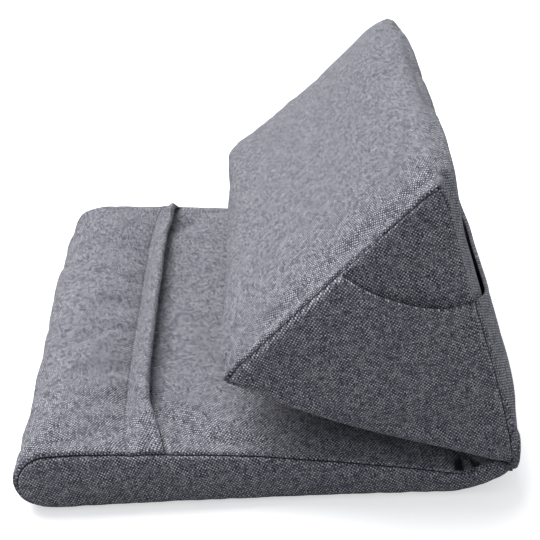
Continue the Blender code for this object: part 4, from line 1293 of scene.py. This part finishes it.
def placed_group(tree, group, values):
    """The outputs of a node group placed in a tree with its own values."""
    return new_node(tree, "ShaderNodeGroup", values, node_tree=group).outputs


def pattern_place(tree):
    """The place on a piece's flat pattern, in metres."""
    return new_node(tree, "ShaderNodeUVMap", uv_map="pattern").outputs["UV"]


def new_material(name, **values):
    """A material and its tree and shader; underscores in a value's name stand for spaces."""
    material = bpy.data.materials.new(name)
    material.use_nodes = True
    tree = material.node_tree
    shader = tree.nodes["Principled BSDF"]
    for label, value in values.items():
        shader.inputs[label.replace("_", " ")].default_value = value
    return material, tree, shader


def bump(tree, shader, height, distance, strength):
    """Lets a height stand out of the surface."""
    inputs = {"Height": height, "Distance": distance, "Strength": strength}
    raised = new_node(tree, "ShaderNodeBump", inputs).outputs["Normal"]
    set_input(tree, shader.inputs["Normal"], raised)


def two_colours(tree, share, dark, light):
    """dark where share is 0 and light where it is 1; each is a colour or a node's output."""
    node = new_node(tree, "ShaderNodeMix", {"Factor": share}, data_type="RGBA")
    sockets = [socket for socket in node.inputs if socket.type == "RGBA"]
    for socket, value in zip(sockets, (dark, light)):
        linked = isinstance(value, bpy.types.NodeSocket)
        set_input(tree, socket, value if linked else (*value, 1.0))
    return next(socket for socket in node.outputs if socket.type == "RGBA")


def cloth_material(scene):
    """Heathered linen-like cloth, with painted shade darkening the creases of its seams."""
    material, tree, shader = new_material(
        "heather_cloth", Roughness=0.92, Sheen_Weight=0.12, Sheen_Roughness=0.5,
        Specular_IOR_Level=0.25,
    )
    colours, place = scene.cushion_colours, pattern_place(tree)
    yarns = {"Place": place, "Yarn Pitch": scene.cushion_sizes.yarn_pitch}
    weave = placed_group(tree, weave_group(), yarns)
    mottle = maths(tree, "MULTIPLY_ADD", cloud(tree, place, 300.0, 3.0), 0.70, 0.65)
    streaks = [stretched_cloud(tree, place, way) for way in ((900.0, 170.0), (170.0, 900.0))]
    flecks = maths(tree, "MULTIPLY_ADD", maths(tree, "ADD", *streaks), 0.80, 0.20)
    tone = maths(tree, "MULTIPLY", maths(tree, "MULTIPLY", weave["Tone"], mottle), flecks)
    woven = two_colours(tree, tone, colours.yarn_dark, colours.yarn_light)
    # Painted shade: where the mesh is marked, the cloth darkens to a near black
    crease = new_node(tree, "ShaderNodeAttribute", attribute_name="painted_shade").outputs["Fac"]
    limits = {"Value": crease, "From Min": CREASE_START, "From Max": CREASE_END}
    narrow = new_node(tree, "ShaderNodeMapRange", limits, interpolation_type="SMOOTHSTEP")
    shaded = two_colours(tree, narrow.outputs["Result"], woven, CREASE_SHADE_COLOUR)
    set_input(tree, shader.inputs["Base Color"], shaded)
    bump(tree, shader, weave["Height"], 0.00030, 0.75)
    return material


def rib_group():
    """Fine slanted ribs, as in a woven tape: their height."""
    tree, given, out = new_group("tape_ribs", {"Rib Pitch": 0.00045}, ("Height",))
    split = new_node(tree, "ShaderNodeSeparateXYZ", {0: given["Place"]}).outputs
    slant = maths(tree, "ADD", split["X"], maths(tree, "PINGPONG", split["Y"], 0.0011))
    turn = maths(tree, "MULTIPLY", maths(tree, "DIVIDE", slant, given["Rib Pitch"]), 2 * math.pi)
    set_input(tree, out["Height"], maths(tree, "MULTIPLY_ADD", maths(tree, "SINE", turn), 0.5, 0.5))
    return tree


def wear_group():
    """Cloudy wear, from 0 where the surface is fresh to 1 where it is rubbed."""
    tree, given, out = new_group("rubbed_wear", {"Scale": 900.0, "Detail": 3.0}, ("Wear",))
    set_input(tree, out["Wear"], cloud(tree, given["Place"], given["Scale"], given["Detail"]))
    return tree


def wear(tree, scale, detail):
    """The wear at a piece's own coordinates."""
    group = bpy.data.node_groups.get("rubbed_wear") or wear_group()
    place = tree.nodes.new("ShaderNodeTexCoord").outputs["Object"]
    return placed_group(tree, group, {"Place": place, "Scale": scale, "Detail": detail})["Wear"]


def shades_of(tree, shader, mask, colour, shades):
    """Colours a surface between two shades of one colour by a mask."""
    dark, light = (tuple(shade * value for value in colour) for shade in shades)
    set_input(tree, shader.inputs["Base Color"], two_colours(tree, mask, dark, light))


def tape_material(scene):
    """Dark herringbone tape."""
    material, tree, shader = new_material("zip_tape_weave", Roughness=0.85)
    ribs = placed_group(tree, rib_group(), {"Place": pattern_place(tree)})["Height"]
    shades_of(tree, shader, ribs, scene.cushion_colours.tape, (0.45, 1.0))
    bump(tree, shader, ribs, 0.00012, 0.6)
    return material


def coil_material(scene):
    """Dark moulded nylon, a little worn."""
    material, tree, shader = new_material("zip_coil_nylon", Roughness=0.38)
    worn = wear(tree, 900.0, 3.0)
    shades_of(tree, shader, worn, scene.cushion_colours.tape, (1.0, 1.9))
    set_input(tree, shader.inputs["Roughness"], maths(tree, "MULTIPLY_ADD", worn, 0.25, 0.26))
    return material


def metal_material(scene):
    """Cast and tumbled zip metal, duller where it is rubbed."""
    material, tree, shader = new_material("zip_metal_cast", Roughness=0.34, Metallic=1.0)
    grain, rubbed = wear(tree, 2600.0, 3.0), wear(tree, 320.0, 4.0)
    shades_of(tree, shader, rubbed, scene.cushion_colours.metal, (0.72, 1.0))
    set_input(tree, shader.inputs["Roughness"], maths(tree, "MULTIPLY_ADD", rubbed, 0.30, 0.20))
    bump(tree, shader, grain, 0.00004, 0.5)
    return material


def thread_material(scene):
    """Twisted sewing thread."""
    material, tree, shader = new_material("sewing_thread", Roughness=0.75, Sheen_Weight=0.2)
    twist = wear(tree, 2400.0, 1.0)
    shades_of(tree, shader, twist, scene.cushion_colours.thread, (0.4, 1.0))
    return material


MAKERS = {
    "cloth": cloth_material, "thread": thread_material, "tape": tape_material,
    "coil": coil_material, "metal": metal_material,
}
MATERIALS = {}


class CushionSizes(bpy.types.PropertyGroup):
    """Sizes of the cloth's make-up that can be changed before the pieces are made."""

    seam_depth: FloatProperty(
        name="Seam Depth", description="How deep the crease of a sewn seam lies",
        default=0.0011, min=0.0, unit="LENGTH",
    )
    channel_depth: FloatProperty(
        name="Channel Depth", description="How deep the groove along the lip's stitch line lies",
        default=0.0013, min=0.0, unit="LENGTH",
    )
    pucker_height: FloatProperty(
        name="Pucker Height", description="Height of the short puckers beside a seam",
        default=0.00030, min=0.0, unit="LENGTH",
    )
    side_pocket_mouth: FloatProperty(
        name="Side Pocket Mouth", description="How far a side pocket's hem stands off",
        default=0.0046, min=0.0, unit="LENGTH",
    )
    back_pocket_mouth: FloatProperty(
        name="Back Pocket Mouth", description="How far the back pocket's hem stands off",
        default=0.0011, min=0.0, unit="LENGTH",
    )
    yarn_pitch: FloatProperty(
        name="Yarn Pitch", description="Distance between neighbouring yarns",
        default=0.00088, min=0.0001, unit="LENGTH",
    )
    cloth_pressure: FloatProperty(
        name="Cloth Pressure", description="How hard the filling pushes the cloth out", default=2.0
    )
    cloth_ease: FloatProperty(
        name="Cloth Ease", description="Share by which the cloth is cut larger than its form",
        default=0.02, subtype="FACTOR",
    )
    cloth_stiffness: FloatProperty(
        name="Cloth Stiffness", description="How much the cloth resists bending", default=0.6
    )
    cloth_reach: FloatProperty(
        name="Cloth Reach", description="The most that the cloth may move when it fills out",
        default=0.0030, unit="LENGTH",
    )
    cloth_frames: IntProperty(
        name="Cloth Steps", description="Steps that the cloth takes to settle", default=20, min=2
    )


class CushionColours(bpy.types.PropertyGroup):
    """Colours of the yarns and of the studio floor."""

    yarn_dark: FloatVectorProperty(
        name="Dark Yarn", description="Darkest fibre of the heathered yarn",
        default=(0.022, 0.024, 0.050), size=3, min=0.0, max=1.0, subtype="COLOR",
    )
    yarn_light: FloatVectorProperty(
        name="Light Yarn", description="Lightest fibre of the heathered yarn",
        default=(0.720, 0.715, 0.745), size=3, min=0.0, max=1.0, subtype="COLOR",
    )
    tape: FloatVectorProperty(
        name="Zip Tape", description="Colour of the zip's tape and coil",
        default=(0.060, 0.065, 0.080), size=3, min=0.0, max=1.0, subtype="COLOR",
    )
    metal: FloatVectorProperty(
        name="Zip Metal", description="Colour of the slider and its puller",
        default=(0.52, 0.53, 0.55), size=3, min=0.0, max=1.0, subtype="COLOR",
    )
    thread: FloatVectorProperty(
        name="Thread", description="Colour of the sewing thread",
        default=(0.110, 0.112, 0.135), size=3, min=0.0, max=1.0, subtype="COLOR",
    )
    floor: FloatVectorProperty(
        name="Floor", description="Colour of the studio floor",
        default=(0.82, 0.82, 0.82), size=3, min=0.0, max=1.0, subtype="COLOR",
    )


def look_from(name, data, place, turn):
    """A camera or a light set at a place and turned by angles in degrees."""
    made = bpy.data.objects.new(name, data)
    made.location = place
    made.rotation_euler = Euler([math.radians(angle) for angle in turn])
    bpy.context.scene.collection.objects.link(made)
    return made


def seen_by(tree, *rays):
    """1 for the camera's and those rays, so that they see a colour of their own."""
    path = tree.nodes.new("ShaderNodeLightPath").outputs
    seen = path["Is Camera Ray"]
    for ray in rays:
        seen = maths(tree, "MAXIMUM", seen, path["Is %s Ray" % ray])
    return seen


def build_stage(colours):
    """The camera at the photograph's angle, a plain pale floor and soft studio light."""
    scene = bpy.context.scene
    camera = bpy.data.cameras.new("photo_camera")
    camera.sensor_width = 36.0
    camera.lens = CAMERA_LENS
    scene.camera = look_from("photo_camera", camera, CAMERA_PLACE, CAMERA_TURN)
    key = bpy.data.lights.new("key_light", "SUN")
    key.energy = 3.8
    key.angle = math.radians(50)
    look_from("key_light", key, (-1.0, -1.2, 2.4), (22.0, -28.0, 0.0))
    world = bpy.data.worlds.new("studio")
    scene.world = world
    world.use_nodes = True
    tree = world.node_tree
    sky = two_colours(tree, seen_by(tree, "Transmission", "Glossy"), SKY_COLOUR, (1.0, 1.0, 1.0))
    set_input(tree, tree.nodes["Background"].inputs["Color"], sky)
    data = bpy.data.meshes.new("studio_floor")
    corners = [(-FLOOR_REACH, -FLOOR_REACH, 0.0), (FLOOR_REACH, -FLOOR_REACH, 0.0),
               (FLOOR_REACH, FLOOR_REACH, 0.0), (-FLOOR_REACH, FLOOR_REACH, 0.0)]
    data.from_pydata(corners, [], [(0, 1, 2, 3)])
    floor = bpy.data.objects.new("studio_floor", data)
    scene.collection.objects.link(floor)
    material, tree, shader = new_material(
        "pale_floor", Roughness=0.9, Specular_IOR_Level=0.0, Emission_Color=(1.0, 1.0, 1.0, 1.0)
    )
    seen = seen_by(tree, "Glossy")
    shown = two_colours(tree, seen, UNSEEN_FLOOR, colours.floor)
    set_input(tree, shader.inputs["Base Color"], shown)
    set_input(tree, shader.inputs["Emission Strength"], maths(tree, "MULTIPLY", seen, FLOOR_GLOW))
    data.materials.append(material)
    scene.view_settings.view_transform = "Standard"


class CUSHION_OT_stage(bpy.types.Operator):
    """Adds the camera, the floor and the studio light"""

    bl_idname = "cushion.stage"
    bl_label = "Studio Stage"

    def execute(self, context):
        build_stage(context.scene.cushion_colours)
        return {"FINISHED"}


def dressing(context, *names):
    """The sizes and the materials of those names; each material is made once."""
    for name in names:
        if name not in MATERIALS:
            MATERIALS[name] = MAKERS[name](context.scene)
    return [context.scene.cushion_sizes] + [MATERIALS[name] for name in names]


class CUSHION_OT_base(bpy.types.Operator):
    """Makes the flat base pillow with its gussets"""

    bl_idname = "cushion.base"
    bl_label = "Base Cushion"

    def execute(self, context):
        build_base(*dressing(context, "cloth"))
        return {"FINISHED"}


class CUSHION_OT_lip(bpy.types.Operator):
    """Makes the padded lip across the base, behind which an edge rests"""

    bl_idname = "cushion.lip"
    bl_label = "Ledge Lip"

    def execute(self, context):
        build_lip(*dressing(context, "cloth", "thread")[1:])
        return {"FINISHED"}


class CUSHION_OT_wedge(bpy.types.Operator):
    """Makes the wedge pillow"""

    bl_idname = "cushion.wedge"
    bl_label = "Wedge Cushion"

    def execute(self, context):
        build_wedge(*dressing(context, "cloth"))
        return {"FINISHED"}


class CUSHION_OT_pockets(bpy.types.Operator):
    """Makes the two side pockets and the back pocket"""

    bl_idname = "cushion.pockets"
    bl_label = "Pockets"

    def execute(self, context):
        build_side_pockets(*dressing(context, "cloth", "thread"))
        build_back_pocket(*dressing(context, "cloth", "thread"))
        return {"FINISHED"}


class CUSHION_OT_zip(bpy.types.Operator):
    """Makes the zip's tapes and teeth, and finishes its slider and puller"""

    bl_idname = "cushion.zip"
    bl_label = "Zip"

    def execute(self, context):
        _, tape, coil, thread, metal = dressing(context, "tape", "coil", "thread", "metal")
        build_zip(tape, coil, thread)
        for name in ("zip_slider", "zip_puller"):
            frame["nodes"][name].data.materials[0] = metal
        return {"FINISHED"}


class CUSHION_OT_hinge(bpy.types.Operator):
    """Makes the rolled seam along the hinge"""

    bl_idname = "cushion.hinge"
    bl_label = "Hinge Seam"

    def execute(self, context):
        build_hinge_seam(dressing(context, "cloth")[1])
        return {"FINISHED"}


class CUSHION_PT_panel(bpy.types.Panel):
    """Lists the steps that dress the cushion"""

    bl_label = "Tablet Cushion"
    bl_idname = "CUSHION_PT_panel"
    bl_space_type = "VIEW_3D"
    bl_region_type = "UI"
    bl_category = "Cushion"

    def draw(self, context):
        for step in STEPS:
            self.layout.operator(step)


STEPS = (
    "cushion.stage", "cushion.base", "cushion.lip", "cushion.wedge", "cushion.pockets",
    "cushion.zip", "cushion.hinge",
)
CLASSES = (
    CushionSizes, CushionColours, CUSHION_OT_stage, CUSHION_OT_base, CUSHION_OT_lip,
    CUSHION_OT_wedge, CUSHION_OT_pockets, CUSHION_OT_zip, CUSHION_OT_hinge, CUSHION_PT_panel,
)


def register():
    for item in CLASSES:
        bpy.utils.register_class(item)
    bpy.types.Scene.cushion_sizes = PointerProperty(type=CushionSizes)
    bpy.types.Scene.cushion_colours = PointerProperty(type=CushionColours)


def unregister():
    del bpy.types.Scene.cushion_colours
    del bpy.types.Scene.cushion_sizes
    for item in reversed(CLASSES):
        bpy.utils.unregister_class(item)


def main():
    register()
    bpy.ops.cushion.stage()
    bpy.ops.cushion.base()
    bpy.ops.cushion.lip()
    bpy.ops.cushion.wedge()
    bpy.ops.cushion.pockets()
    bpy.ops.cushion.zip()
    bpy.ops.cushion.hinge()


if __name__ == "__main__":
    main()
